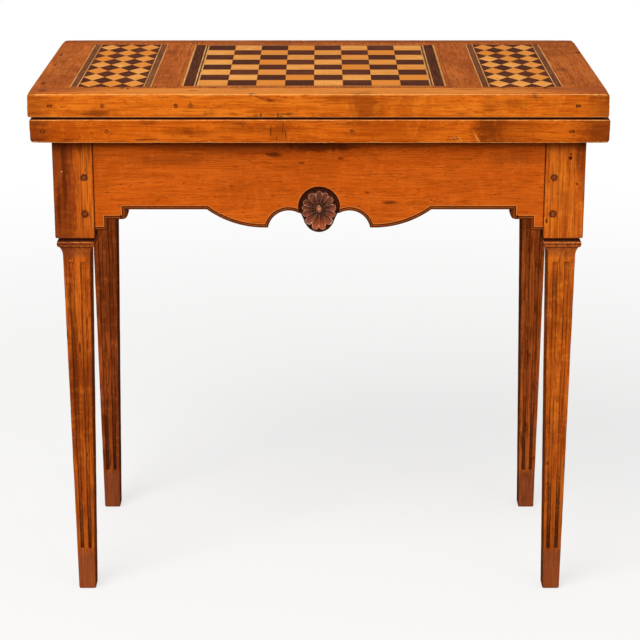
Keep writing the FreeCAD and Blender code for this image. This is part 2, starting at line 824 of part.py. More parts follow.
def side_strips(distances):
    """Strips on both sides of the chessboard, between pairs of distances from its middle."""
    front, back = chess_y - chess_half_y, chess_y + chess_half_y
    strips = []
    for near, far in distances:
        strips.append(tile(chess_x - far, chess_x - near, front, back))
        strips.append(tile(chess_x + near, chess_x + far, front, back))
    return strips


def end_strips(near, far):
    """A line along the front and back of the chessboard."""
    left, right = chess_x - chess_half, chess_x + chess_half
    spans = [(chess_y - far, chess_y - near), (chess_y + near, chess_y + far)]
    return [tile(left, right, front, back) for front, back in spans]


def panel_strips(x, near, far):
    """A strip along each long side of a lozenge panel."""
    front, back = panel_y - panel_half_y, panel_y + panel_half_y
    return [tile(x - far, x - near, front, back), tile(x + near, x + far, front, back)]


def lozenges(panel_x, between):
    """Lozenges of one shade: the whole ones, or those between them, cut off at the panel's edge."""
    half_width, half_length = lozenge_width / 2, lozenge_length / 2
    to_side = half_width * half_length / math.hypot(half_width, half_length)
    shrink = 1 - inlay_joint / 2 / to_side
    left, front = panel_x - panel_half_x, panel_y - panel_half_y
    field = tile(left, panel_x + panel_half_x, front, panel_y + panel_half_y)
    corners = [(-half_width, 0), (0, -half_length), (half_width, 0), (0, half_length)]
    more, first = (1, 0) if between else (0, 1)
    pieces = []
    for i in range(lozenges_across + more):
        for j in range(lozenges_along + more):
            x = left + half_width * (2 * i + first)
            y = front + half_length * (2 * j + first)
            points = [V(x + dx * shrink, y + dy * shrink, inlay_floor_z) for dx, dy in corners]
            pieces.append(prism(points, ALONG_Z * inlay_thickness).common(field))
    return pieces


inlay_cuts = [inlay_recess(chess_x, chess_y, chess_half_x, chess_half_y)]
panel_centres = [upper_centre_x + left_panel_x, upper_centre_x + right_panel_x]
for panel_x in panel_centres:
    inlay_cuts.append(inlay_recess(panel_x, panel_y, panel_outer_x, panel_half_y))

upper_cuts = hinge_recesses(1) + inlay_cuts
lower_cuts = hinge_recesses(-1) + leaf_screw_holes
upper_leaf = make_leaf(upper_centre_x, upper_bottom_z, upper_pin_shares, upper_key_shares, -1, upper_cuts)
lower_leaf = make_leaf(lower_centre_x, lower_bottom_z, lower_pin_shares, lower_key_shares, 1, lower_cuts)

# Write every node
os.makedirs("parts", exist_ok=True)
save("front_leg_left", [front_leg_left])
save("front_leg_right", [front_leg_right])
save("front_apron", [front_apron])
save("rosette", [make_rosette()])
save("side_apron_left", [side_apron_left])
save("side_apron_right", [side_apron_right])
right_pegs = frame_pegs(peg_radius)
save("frame_pegs", right_pegs + [mirrored(peg) for peg in right_pegs])
save("inner_back_rail", [without(back_rail, hinge_block_screws(glue_gap))])
save("gate_hinge_block", [hinge_block])
save("hinge_block_screws", hinge_block_screws())
save("glue_blocks", glue_blocks)
save("leaf_screws", leaf_screws())
for name, place in (("right", lambda shape: shape), ("left", mirrored)):
    save("gate_pin_" + name, [place(gate_pin)])
    save("fly_rail_" + name, [place(fly_rail)])
    save("rear_leg_" + name, [place(rear_leg)])
    save("gate_pegs_" + name, [place(peg) for peg in gate_pegs(peg_radius)])
for name, leaf, up in (("lower", lower_leaf, -1), ("upper", upper_leaf, 1)):
    front_rail, back_rail, boards, driven, lining = leaf
    save(name + "_front_rail", [front_rail])
    save(name + "_back_rail", [back_rail])
    for side, board in zip(("left", "middle", "right"), boards):
        save(name + "_" + side + "_board", [board])
    save(name + "_edge_pins", driven)
    save(name + "_baize", [lining])
    save(name + "_hinge_plates", [hinge_plate(x, up) for x in hinge_places])
    save(name + "_hinge_screws", [part for x in hinge_places for part in plate_screws(x, up)])
save("leaf_hinge_pins", [hinge_rod(hinge_pin_radius, x - hinge_length / 2, x + hinge_length / 2)
                         for x in hinge_places])
save("chess_light_squares", chess_squares(0))
save("chess_dark_squares", chess_squares(1))
save("chess_dark_bands", side_strips([(band_start, band_start + dark_band_width)]))
line_far = chess_half + string_width
line_near = band_start - string_width
outer_line = (chess_half_x - outer_line_width, chess_half_x)
pale_sides = [(chess_half, line_far), (line_near, band_start), outer_line]
save("chess_pale_lines", side_strips(pale_sides) + end_strips(line_far, chess_half_y))
save("chess_dark_lines", side_strips([(line_far, line_near)]) + end_strips(chess_half, line_far))
for name, panel_x in zip(("left", "right"), panel_centres):
    save(name + "_light_lozenges", lozenges(panel_x, False))
    save(name + "_dark_lozenges", lozenges(panel_x, True))
strip_near = panel_half_x + panel_line_width
strip_far = strip_near + panel_strip_width
pale_lines = []
brown_strips = []
for panel_x in panel_centres:
    pale_lines += panel_strips(panel_x, panel_half_x, strip_near)
    pale_lines += panel_strips(panel_x, strip_far, panel_outer_x)
    brown_strips += panel_strips(panel_x, strip_near, strip_far)
save("panel_pale_lines", pale_lines)
save("panel_brown_strips", brown_strips)
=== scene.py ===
import math
import bmesh
import bpy
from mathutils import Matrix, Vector, noise


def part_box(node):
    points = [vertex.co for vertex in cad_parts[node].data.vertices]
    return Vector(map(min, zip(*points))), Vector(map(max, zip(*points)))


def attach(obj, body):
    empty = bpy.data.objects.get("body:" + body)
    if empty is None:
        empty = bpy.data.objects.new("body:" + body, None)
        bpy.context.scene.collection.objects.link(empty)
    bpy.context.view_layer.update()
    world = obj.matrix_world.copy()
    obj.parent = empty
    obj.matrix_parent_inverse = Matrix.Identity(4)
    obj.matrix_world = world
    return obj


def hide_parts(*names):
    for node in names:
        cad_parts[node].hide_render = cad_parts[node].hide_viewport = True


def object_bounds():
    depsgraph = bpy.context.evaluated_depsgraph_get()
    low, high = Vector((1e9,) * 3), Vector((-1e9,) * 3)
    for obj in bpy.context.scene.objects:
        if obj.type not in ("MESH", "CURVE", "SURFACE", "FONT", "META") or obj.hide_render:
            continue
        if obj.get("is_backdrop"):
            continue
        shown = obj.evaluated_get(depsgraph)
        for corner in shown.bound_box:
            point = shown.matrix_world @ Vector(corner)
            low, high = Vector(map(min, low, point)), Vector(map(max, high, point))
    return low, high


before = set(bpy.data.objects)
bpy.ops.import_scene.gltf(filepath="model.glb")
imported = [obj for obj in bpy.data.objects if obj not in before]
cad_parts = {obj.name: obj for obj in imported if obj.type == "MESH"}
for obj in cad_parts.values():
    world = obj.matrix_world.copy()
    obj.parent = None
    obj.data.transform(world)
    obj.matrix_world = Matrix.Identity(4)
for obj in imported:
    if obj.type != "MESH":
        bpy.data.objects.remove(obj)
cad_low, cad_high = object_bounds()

# Legs
# Four square legs of solid cherry, sawn to a taper and planed. Each head is worked with a block, a
# sunk neck, a round cap and a cavetto, each face has two scratched flutes, and all of it is waxed.
mm = 0.001
block_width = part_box("front_leg_left")[1].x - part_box("front_leg_left")[0].x
block_height = 141 * mm
neck_height = 5 * mm
neck_inset = 5 * mm
cap_height = 8.4 * mm
cap_inset = 1.2 * mm
cap_edge_inset = 2.8 * mm
# Turns about the cap's round edge in degrees, and its soil there: painted shade in the creases above and
# below, darker in the middle, and below zero a painted highlight drawn as a level rubbed bare
cap_soils = ((-80, 1.1), (-50, -0.9), (-5, 0.75), (45, -0.7), (80, 1.2))
cavetto_height = 13 * mm
cavetto_lip_inset = 4 * mm
cavetto_steps = 6
cavetto_curve = 1.74
shaft_top_width = 39 * mm
foot_width = 25 * mm
foot_set_out = 2.5 * mm
plain_foot_height = 66 * mm
flute_top_margin = 10.4 * mm
flute_end = 0.6 * mm
flute_levels = 28
flute_width_share = 0.195
flute_offset_share = 0.21
flute_depth_share = 0.34
flute_profile = ((-1, 0), (-0.84, 0.7), (-0.42, 0.95), (0, 1), (0.42, 0.95), (0.84, 0.7), (1, 0))
flute_wax_height = 130 * mm
leg_ease = 1.2 * mm
leg_arris = 1.5 * mm
arris_turns = (25, 45, 65)
rub_depth = 0.9 * mm
inner_soil = 0.7
peg_edge_distance = 13 * mm
peg_depths = (54 * mm, 106 * mm)
peg_halo = 5.4 * mm


def linear(code):
    """An sRGB hex colour as linear RGBA."""
    shares = [int(code[i:i + 2], 16) / 255 for i in (1, 3, 5)]
    return [s / 12.92 if s <= 0.04045 else ((s + 0.055) / 1.055) ** 2.4 for s in shares] + [1.0]


def add(tree, kind, inputs=(), **settings):
    """Adds a node: settings are its properties, inputs its sockets, each a value, a socket or a node.

    A node given as an input stands for the first of its outputs that is in use.
    """
    node = tree.nodes.new(kind)
    for name, value in settings.items():
        setattr(node, name, value)
    for key, value in dict(inputs).items():
        if isinstance(value, bpy.types.Node):
            value = next(socket for socket in value.outputs if socket.enabled)
        if isinstance(value, bpy.types.NodeSocket):
            tree.links.new(value, node.inputs[key])
        else:
            node.inputs[key].default_value = value
    return node


def blank_material(name):
    """A material with an empty tree, that tree, and the Object coordinates in it."""
    material = bpy.data.materials.new(name)
    material.use_nodes = True
    tree = material.node_tree
    tree.nodes.clear()
    return material, tree, add(tree, "ShaderNodeTexCoord").outputs["Object"]


def coated(tree, base, coats, blend="SMOOTHSTEP"):
    """A base colour under coats, each with its mask, where that is none and full, strength and tint."""
    colour = linear(base)
    for source, none, full, strength, tint in coats:
        mask = add(tree, "ShaderNodeMapRange", {
            "Value": source, "From Min": none, "From Max": full, "To Max": strength},
            interpolation_type=blend)
        colour = add(tree, "ShaderNodeMix", {0: mask, 6: colour, 7: linear(tint)}, data_type="RGBA")
    return colour


along_x = (0, 0, 0)
along_y = (0, 0, -math.pi / 2)
along_z = (0, math.pi / 2, 0)
# Sizes along and across the grain in millimetres, detail and waviness; pores are drawn wider than
# real ones so that they show
grain_layers = {
    "streak": (190, 12, 4, 0.9), "fine": (46, 2.0, 3, 0.4), "mottle": (11, 26, 4, 0.6),
    "cloud": (150, 70, 3, 0), "smear": (34, 7, 4, 1.0), "pore": (10, 1.2, 1, 0), "chip": (6, 4, 3, 0),
    "fleck": (7, 2.6, 3, 0.6)}
grain_relief = 0.6 * mm
wax_rough = (0.46, 0.62)
wax_gloss = 0.3


def old_wood(name, turn, base, pale, deep, spots=(), seams_and_shade_bands=(), tone=None, rubbed_and_highlight="#DC9450", sheen=0.0,
             start=0.0):
    """Old wood with its grain along one axis: long streaks, a mottle across them, short dark pores.

    The piece's wear and soil say where its arrises are rubbed pale and dark wax and dirt sit, and also
    where light and shade are painted on: highlights on ridges and crowns, shade in hollows and under
    overhangs. A spot is a stain or a painted patch of light or shade (centre, reach, strength, tint,
    raggedness, and a tilt about Y where it has one), a seam a dark joint or a band of painted shadow (axis,
    place, half width), and tone the tint that single pieces of a set drift towards.
    """
    material, tree, place = blank_material(name)
    grain = add(tree, "ShaderNodeMapping", {
        "Vector": place, "Rotation": turn, "Location": (start, 0.37 * start, 0.61 * start)})
    layer = {}
    for key, (along, across, detail, wave) in grain_layers.items():
        scale = (1 / (along * mm), 1 / (across * mm), 1 / (across * mm))
        stretched = add(tree, "ShaderNodeMapping", {"Vector": grain, "Scale": scale})
        layer[key] = add(tree, "ShaderNodeTexNoise", {
            "Vector": stretched, "Scale": 1.0, "Detail": detail, "Distortion": wave})
    coats = [
        (layer["streak"], 0.36, 0.64, 0.85, pale),
        (layer["cloud"], 0.42, 0.66, 0.6, deep),
        (layer["mottle"], 0.48, 0.70, 0.7, pale),
        (layer["fine"], 0.44, 0.66, 0.75, deep),
        (layer["smear"], 0.55, 0.70, 0.75, deep),
        (layer["fleck"], 0.62, 0.74, 0.6, "#5A2408"),
        (layer["pore"], 0.66, 0.74, 0.6, "#4A1C08"),
    ]
    if tone:
        coats.append((add(tree, "ShaderNodeAttribute", attribute_name="tone").outputs["Fac"], 0, 1, 1, tone))
    for centre, reach, strength, tint, ragged, *tilt in spots:
        near = add(tree, "ShaderNodeMapping", {
            "Vector": place, "Location": centre, "Rotation": (0, sum(tilt), 0), "Scale": reach},
            vector_type="TEXTURE")
        far = add(tree, "ShaderNodeVectorMath", {0: near}, operation="LENGTH")
        for key in ("smear", "mottle", "chip", "fleck"):
            far = add(tree, "ShaderNodeMath", {0: layer[key], 1: ragged, 2: far}, operation="MULTIPLY_ADD")
        edge, soft = 1 + 2 * ragged, 0.1 + 0.45 * ragged ** 2
        coats.append((far, edge + soft, edge - soft, strength, tint))
    # A seam darkens a band, for a joint and also for painted shadow under an overhang
    for axis, position, half_width in seams_and_shade_bands:
        way = add(tree, "ShaderNodeSeparateXYZ", {0: place}).outputs[axis]
        off = add(tree, "ShaderNodeMath", {0: way, 1: position}, operation="SUBTRACT")
        off = add(tree, "ShaderNodeMath", {0: off}, operation="ABSOLUTE")
        coats.append((off, half_width, 0, 0.85, "#2C0F05"))
    # Soil here also paints shade in hollows and under overhangs, and wear also paints highlights
    for key, share, none, full, strength, tint in (("soil", 0.6, 0.5, 1.2, 0.85, "#33170E"),
                                                   ("wear", 1.2, 1.2, 1.6, 0.7, rubbed_and_highlight)):
        given = add(tree, "ShaderNodeAttribute", attribute_name=key).outputs["Fac"]
        broken = add(tree, "ShaderNodeMath", {0: layer["chip"], 1: share, 2: given},
                     operation="MULTIPLY_ADD")
        coats.append((broken, none, full, strength, tint))
    rough = add(tree, "ShaderNodeMapRange", {
        "Value": layer["fine"], "From Min": 0.3, "From Max": 0.7, "To Min": wax_rough[0] - wax_gloss * sheen,
        "To Max": wax_rough[1] - wax_gloss * sheen})
    height = add(tree, "ShaderNodeMath", {0: layer["pore"], 1: -0.6, 2: layer["fine"]},
                 operation="MULTIPLY_ADD")
    bump = add(tree, "ShaderNodeBump", {"Height": height, "Strength": 0.35, "Distance": grain_relief})
    shader = add(tree, "ShaderNodeBsdfPrincipled", {
        "Base Color": coated(tree, base, coats), "Roughness": rough, "Specular IOR Level": sheen,
        "Normal": bump})
    add(tree, "ShaderNodeOutputMaterial", {"Surface": shader})
    return material


def marks(rows):
    """Spots from rows in millimetres: place, reach, then strength, tint, raggedness and any tilt."""
    return [([d * mm for d in row[:3]], [d * mm for d in row[3:6]], *row[6:]) for row in rows]


def put_in_scene(name, data):
    """A new object at the origin that holds the data."""
    holder = bpy.data.objects.new(name, data)
    bpy.context.scene.collection.objects.link(holder)
    return holder


sharp_turn = math.radians(38)


def make_piece(name, points, faces, material, **attributes):
    """A closed mesh with its faces turned outwards, smooth but for real edges."""
    mesh = bpy.data.meshes.new(name)
    mesh.from_pydata(points, [], faces)
    for key, values in attributes.items():
        mesh.attributes.new(key, "FLOAT", "POINT").data.foreach_set("value", values)
    form = bmesh.new()
    form.from_mesh(mesh)
    bmesh.ops.recalc_face_normals(form, faces=form.faces)
    form.to_mesh(mesh)
    form.free()
    mesh.shade_smooth()
    mesh.set_sharp_from_angle(angle=sharp_turn)
    mesh.materials.append(material)
    return put_in_scene(name, mesh)


def stand_in(piece, body, slot, *nodes):
    """The piece rides on a body and hides the nodes it takes the place of; slot is not used."""
    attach(piece, body)
    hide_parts(*nodes)


def loft(count, rings):
    """Faces between rings of count points each, with a face at either end."""
    faces = []
    for i in range(rings - 1):
        for j in range(count):
            k = (j + 1) % count
            faces.append((i * count + j, i * count + k, (i + 1) * count + k, (i + 1) * count + j))
    return faces + [tuple(range(count)), tuple(range((rings - 1) * count, rings * count))]


def leg_levels(top, half):
    """Height, half width, flute share and soil of each level of a leg, from the top down.

    That soil is painted shade under the block, in the neck and under the cap, and darkens the foot.
    Below zero it is a painted highlight, drawn as a level rubbed bare.
    """
    block_foot = top - block_height
    cap_top = block_foot - neck_height
    cap_foot = cap_top - cap_height
    shaft_top = cap_foot - cavetto_height
    ease = leg_ease
    levels = [(top, half - ease, 0, 0), (top - ease, half, 0, 0)]
    levels += [(block_foot + block_height * share, half, 0, 0) for share in (0.8, 0.6, 0.4, 0.2)]
    # The last two levels here get painted shade under the block and in the sunk neck
    levels += [(block_foot + 2 * ease, half, 0, 0), (block_foot + ease / 2, half - ease / 3, 0, 0),
               (block_foot, half - ease, 0, 0.7), (block_foot, half - neck_inset, 0, 1.3)]
    for turn, soil in cap_soils:
        bulge = cap_edge_inset - (cap_edge_inset - cap_inset) * math.cos(math.radians(turn))
        rise = math.sin(math.radians(turn)) / 2 + 0.5
        levels.append((cap_top - cap_height * rise, half - bulge, 0, soil))
    lip, shaft = half - cavetto_lip_inset, shaft_top_width / 2
    for step in range(cavetto_steps + 1):
        share = step / cavetto_steps
        width = shaft + (lip - shaft) * (1 - share) ** cavetto_curve
        # Painted shade under the cap, fading down the cavetto
        soil = 0.85 - 0.45 * min(step, 1) - 0.07 * step
        levels.append((cap_foot - cavetto_height * share, width, 0, soil))
    flute_top = shaft_top - flute_top_margin
    stops = [flute_top + flute_end, flute_top]
    stops += [flute_top + (plain_foot_height - flute_top) * k / flute_levels
              for k in range(1, flute_levels + 1)]
    stops += [plain_foot_height - flute_end, plain_foot_height / 2, 4 * ease, 2.4 * ease]
    for z in stops:
        fluted = float(plain_foot_height <= z <= flute_top)
        levels.append((z, (foot_width + (shaft_top_width - foot_width) * z / shaft_top) / 2, fluted, 0))
    levels += [(0.7 * ease, foot_width / 2 - 0.6 * ease, 0, 0.4), (0, foot_width / 2 - 2.2 * ease, 0, 0.6)]
    return levels, shaft_top


def leg_ring(half, fluted, soil):
    """One level of a leg about its middle: (x, y, wear, soil and painted shade) round four fluted faces."""
    width = 2 * half
    flat = half - leg_arris
    face = [(-flat, 0, 0.5, soil), (-flat + leg_ease, 0, 0, soil)]
    for side in (-1, 1):
        for across, sink in flute_profile:
            along = (side * flute_offset_share + across * flute_width_share / 2) * width
            inward = sink * fluted * flute_depth_share * flute_width_share * width
            # Painted shade on the walls of each flute, less on its floor
            flute_shade = 0.66 if 0 < sink < 0.9 else 0.3 * (sink > 0)
            face.append((along, inward, 0, soil + fluted * flute_shade))
    face += [(flat - leg_ease, 0, 0, soil), (flat, 0, 0.5, soil)]
    for turn in arris_turns:
        angle = math.radians(turn)
        face.append((flat + leg_arris * math.sin(angle), leg_arris * (1 - math.cos(angle)), 1, soil))
    ring = []
    for quarter in range(4):
        c, s = round(math.cos(quarter * math.pi / 2)), round(math.sin(quarter * math.pi / 2))
        for x, inward, wear, dirt_and_shade in face:
            y = inward - half
            ring.append((c * x - s * y, s * x + c * y, wear, dirt_and_shade))
    return ring


def make_leg(node, material):
    """A whole leg in the place of its node, its arrises worn a little uneven."""
    low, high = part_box(node)
    levels, shaft_top = leg_levels(high.z, block_width / 2)
    middle_y = (low.y + high.y) / 2
    outer = low.x if low.x < 0 else high.x
    outward = math.copysign(1, outer)
    middle_x = outer - outward * block_width / 2
    points, wears, soils = [], [], []
    for z, half, fluted, soil in levels:
        lean = outward * foot_set_out * max(0, 1 - z / shaft_top)
        for x, y, wear, dirt_and_shade in leg_ring(half, fluted, soil):
            # Noise over about 50 mm across the leg and 17 mm along it, another stretch of it for each leg
            spot = Vector((x * 20 + middle_x * 90, y * 20 + middle_y * 70, z * 60))
            rub = wear * rub_depth * max(0, noise.noise(spot) + 0.1) / half
            points.append((middle_x + lean + x * (1 - rub), middle_y + y * (1 - rub), z))
            # A level's soil below zero becomes a painted highlight here, drawn as wear
            wears.append(max(wear * (0.4 + 0.5 * noise.noise(spot * 0.6)), -dirt_and_shade))
            low_dirt = 0.6 * fluted * max(0, 1 - (z - plain_foot_height) / flute_wax_height) * (dirt_and_shade > 0)
            # Painted shade on the inner faces, under the table
            shade = inner_soil * (-x * outward > half - leg_arris)
            uneven = 0.3 * fluted * (dirt_and_shade > 0) * noise.noise((z * 14, x * 90, middle_x * 9))
            soils.append(max(dirt_and_shade, shade) + low_dirt + uneven)
    count = len(points) // len(levels)
    return make_piece(node + "_worked", points, loft(count, len(levels)), material, wear=wears, soil=soils)


# Waxed cherry looks orange to red brown in long streaks and hardly shines. The rear legs are darker,
# partly in their wood and partly as painted shade under the top.
dark_heart = "#6E2A10"
deep_chip = "#2E0F06"
chip = "#3A1406"
leg_finish = {
    "front_leg_left": ("frame", ("#BA5618", "#D06A1C", "#7C330C"), [
        (-400, -190, 620, 61, 200, 200, 0.62, dark_heart, 0.2),
        (-352, -190, 630, 4, 50, 50, 0.6, "#421506", 1.0),
        (-361, -190, 585, 3, 50, 30, 0.6, "#421506", 1.0),
        (-355.5, -190, 636.2, 1.3, 20, 1.3, 0.75, "#D98A5A", 0.2),
        (-340, -170, 200, 50, 200, 240, 0.25, dark_heart, 0.8),
        (-349, -190, 360, 5, 50, 120, 0.5, "#4A1A08", 1.0),
        (-328.7, -190, 417, 1.2, 20, 7, 0.75, deep_chip, 0.5),
        (-329.5, -190, 381, 1.2, 20, 8, 0.7, deep_chip, 0.6),
        (-340.5, -190, 377, 1.3, 20, 10, 0.75, deep_chip, 0.5),
        (-357.5, -190, 397, 1.6, 30, 7, 0.7, chip, 0.6),
        (-336, -190, 213, 1.5, 20, 4, 0.7, chip, 0.6)]),
    "front_leg_right": ("frame", ("#C86019", "#DA741F", "#8A3B0F"), [
        (362, -190, 655, 8, 50, 30, 0.5, dark_heart, 1.0),
        (346.6, -190, 655.6, 2.6, 20, 2.6, 0.9, deep_chip, 0.2),
        (347.2, -190, 661, 1.4, 20, 1.4, 0.9, deep_chip, 0.2),
        (357, -190, 618.7, 1.4, 20, 1.4, 0.9, deep_chip, 0.2),
        (316.3, -190, 566, 1.8, 20, 4, 0.8, deep_chip, 0.3),
        (340, -170, 80, 50, 200, 190, 0.4, dark_heart, 0.8),
        (331, -190, 263, 1.2, 20, 2.2, 0.8, deep_chip, 0.4),
        (331.5, -190, 248, 1.1, 20, 3.5, 0.7, deep_chip, 0.5),
        (331, -190, 200, 1.3, 20, 3.5, 0.8, deep_chip, 0.4),
        (332, -190, 168, 1.1, 20, 2.5, 0.7, deep_chip, 0.5),
        (356.5, -190, 199, 2.2, 30, 7, 0.7, chip, 0.6),
        (355.5, -190, 106, 1.6, 30, 6, 0.6, chip, 0.6)]),
    "rear_leg_left": ("left_gate", ("#92411A", "#AA5220", "#58240B"), []),
    "rear_leg_right": ("right_gate", ("#A24B1D", "#BA5E23", "#64290D"), []),
}
stain_reach = 90 * mm
cap_stain = (13 * mm, 16 * mm)
leaf_shadow = (5 * mm, 15 * mm)
leg_seam = 1.2 * mm
for k, (node, (body, tints, rows)) in enumerate(leg_finish.items()):
    low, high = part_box(node)
    side = math.copysign(1, high.x)
    outer = max(-low.x, high.x)
    block_foot = high.z - block_height
    spots = marks(rows)
    for z, reach, strength, tint, ragged in ((block_foot - cap_stain[0], cap_stain[1], 0.4, "#7E3E26", 0.4),
                                             (0, plain_foot_height, 0.6, "#7E4229", 0.15)):
        centre = (side * outer, (low.y + high.y) / 2, z)
        spots.append((centre, (stain_reach, stain_reach, reach), strength, tint, ragged))
    # A painted ring of shade round each peg head, which stands proud
    for depth in peg_depths if body == "frame" else ():
        for x, y in ((outer - block_width + peg_edge_distance, low.y), (outer, high.y - peg_edge_distance)):
            spots.append(((side * x, y, high.z - depth), [peg_halo] * 3, 0.75, "#3A1206", 0.6))
    # Seams: painted shadow under the leaf, the dark joint with the apron, and painted shade in the sunk neck
    cherry = old_wood("cherry planed and waxed " + node, along_z, *tints, spots=spots, start=0.7 * k, seams_and_shade_bands=[
        (2, high.z - leaf_shadow[0], leaf_shadow[1]), (0, side * (outer - block_width), leg_seam),
        (2, block_foot - neck_height / 2, 0.65 * neck_height)])
    stand_in(make_leg(node, cherry), body, "frame_cherry", node)

# Front apron
# One cherry board, sawn to a shaped lower edge with stepped ends, a bead and quirk scratched along
# it, and a roundel sunk in the middle. It is tenoned into the legs, pegged and waxed.
apron_low, apron_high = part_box("front_apron")
apron_top = apron_high.z
apron_front = apron_low.y
apron_thickness = apron_high.y - apron_low.y
apron_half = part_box("front_leg_right")[0].x
end_depth = 130 * mm
step_depth = 114 * mm
straight_depth = 100 * mm
step_width = 18 * mm
nose_width = 28 * mm
nose_round = 8 * mm
nose_tuck = 3 * mm
nose_back = 10 * mm
nose_steps = 10
curve_start = (156 * mm, straight_depth)
curve_middle = (112 * mm, 121.3 * mm)
curve_steps = 24
cusp = (71 * mm, 126 * mm)
arch_middle = (47 * mm, 102 * mm)
arch_steps = 26
drop_shoulder = (25.3 * mm, 107 * mm)
drop_side = (19.5 * mm, 119.8 * mm)
drop_depth = 133.5 * mm
drop_steps = 18
roundel_depth = 96.3 * mm
roundel_radius = 29 * mm
roundel_sink = 5 * mm
rim_round = 0.8 * mm
rim_steps = 48
quirk_offset = 4 * mm
# Points away from the tip beside the roundel at which the way of the edge is read
tip_span = 8
# The bead from the lower edge inwards: offset and depth in millimetres, wear and soil. The soil darkens
# the bead and is painted shade under it and in the quirk; the wear is a painted highlight on its crest,
# and on the arris above the quirk partly rubbed wear, partly painted highlight
bead_profile = (
    (0, 1.7, 0, 1.3), (0.3, 0.8, 0, 1.3), (1.1, 0.15, 0, 1.2), (2.0, 0, 0, 0.9), (2.9, 0.15, 0.7, 0.55),
    (3.7, 0.8, 0, 0.8), (4.0, 1.5, 0, 1.0), (4.9, 1.5, 0, 1.0), (5.1, 0.5, 0.9, 0.3), (5.5, 0, 1.5, 0),
    (6.4, 0, 0, 0), (7.4, 0, 0, 0))


def arc(start, middle, end, steps):
    """Points after start on the circle through three points."""
    (ax, ay), (bx, by), (cx, cy) = start, middle, end
    a, b, c = ax * ax + ay * ay, bx * bx + by * by, cx * cx + cy * cy
    twice = 2 * (ax * (by - cy) + bx * (cy - ay) + cx * (ay - by))
    x = (a * (by - cy) + b * (cy - ay) + c * (ay - by)) / twice
    y = (a * (cx - bx) + b * (ax - cx) + c * (bx - ax)) / twice
    first, through, last = [math.atan2(py - y, px - x) for px, py in (start, middle, end)]
    turn = (last - first) % (2 * math.pi)
    if (through - first) % (2 * math.pi) > turn:
        turn -= 2 * math.pi
    radius = math.hypot(ax - x, ay - y)
    angles = [first + turn * k / steps for k in range(1, steps + 1)]
    return [(x + radius * math.cos(t), y + radius * math.sin(t)) for t in angles]


def stepped_end(span):
    """The lower edge of an apron from the leg to its straight stretch, as (along, depth).

    It comes twice: as it is sawn, with a round nose, and squared, as the scratch tool follows it.
    """
    nose = span - step_width - nose_width
    corner = nose + nose_tuck
    start = (nose + nose_round, step_depth)
    steps = [(span, end_depth), (span - step_width, end_depth), (span - step_width, step_depth)]
    sawn = arc(start, (nose, (step_depth + straight_depth) / 2), (corner, straight_depth), nose_steps)
    rise = (straight_depth - step_depth) / (nose_steps - 1)
    squared = [(corner + nose_back, step_depth)]
    squared += [(corner, step_depth + rise * k) for k in range(nose_steps)]
    return steps + [start] + sawn, steps + squared


def inset(sawn, squared, offset, quirk):
    """The lower edge moved into the board, which lies above it, with mitred corners.

    Up to the quirk it blends from the sawn edge to the squared one.
    """
    moved = []
    reach = math.copysign(max(abs(offset), quirk), offset or squared[0][0])
    for k, (x, d) in enumerate(squared):
        sides = []
        for (x0, d0), (x1, d1) in zip(squared[max(0, k - 1):k + 1], squared[max(1, k):k + 2]):
            length = math.hypot(x1 - x0, d1 - d0)
            sides.append(((d1 - d0) / length, (x0 - x1) / length))
        (ux, ud), (vx, vd) = sides[0], sides[-1]
        share = reach / (1 + ux * vx + ud * vd)
        inner = (x - share * (ux + vx), d - share * (ud + vd))
        blend = min(1, abs(offset) / quirk)
        moved.append(tuple(a + (b - a) * blend for a, b in zip(sawn[k], inner)))
    return moved


def cut_at_roundel(path, tail):
    """The path stopped at the roundel, with its last points, tail of them, spread out again."""
    corner = len(path) - tail - 1
    tip = Vector(path[corner])

    def off(point):
        return math.hypot(point[0], point[1] - roundel_depth) - roundel_radius

    def clear(point, side):
        return (Vector(point) - tip).dot(Vector(path[corner + side]) - tip) > 0

    inside = next(k for k, point in enumerate(path) if off(point) < 0)
    (x0, d0), (x1, d1) = path[inside - 1:inside + 1]
    share = off(path[inside - 1]) / (off(path[inside - 1]) - off(path[inside]))
    kept = [path[corner]] + [point for point in path[corner + 1:inside] if clear(point, tip_span)]
    kept.append((x0 + (x1 - x0) * share, d0 + (d1 - d0) * share))
    before = [point if clear(point, -tip_span) else path[corner] for point in path[:corner]]
    lengths = [0]
    for (x0, d0), (x1, d1) in zip(kept, kept[1:]):
        lengths.append(lengths[-1] + math.hypot(x1 - x0, d1 - d0))
    spread = []
    for k in range(1, tail + 1):
        reach = lengths[-1] * k / tail
        j = max(i for i in range(len(kept) - 1) if lengths[i] <= reach)
        share = (reach - lengths[j]) / (lengths[j + 1] - lengths[j])
        spread.append(tuple(p + (q - p) * share for p, q in zip(kept[j], kept[j + 1])))
    return before + [path[corner]] + spread


def ribbon(a, b):
    """Faces between two lines of points."""
    return [(a[k], a[k + 1], b[k + 1], b[k]) for k in range(len(a) - 1)]


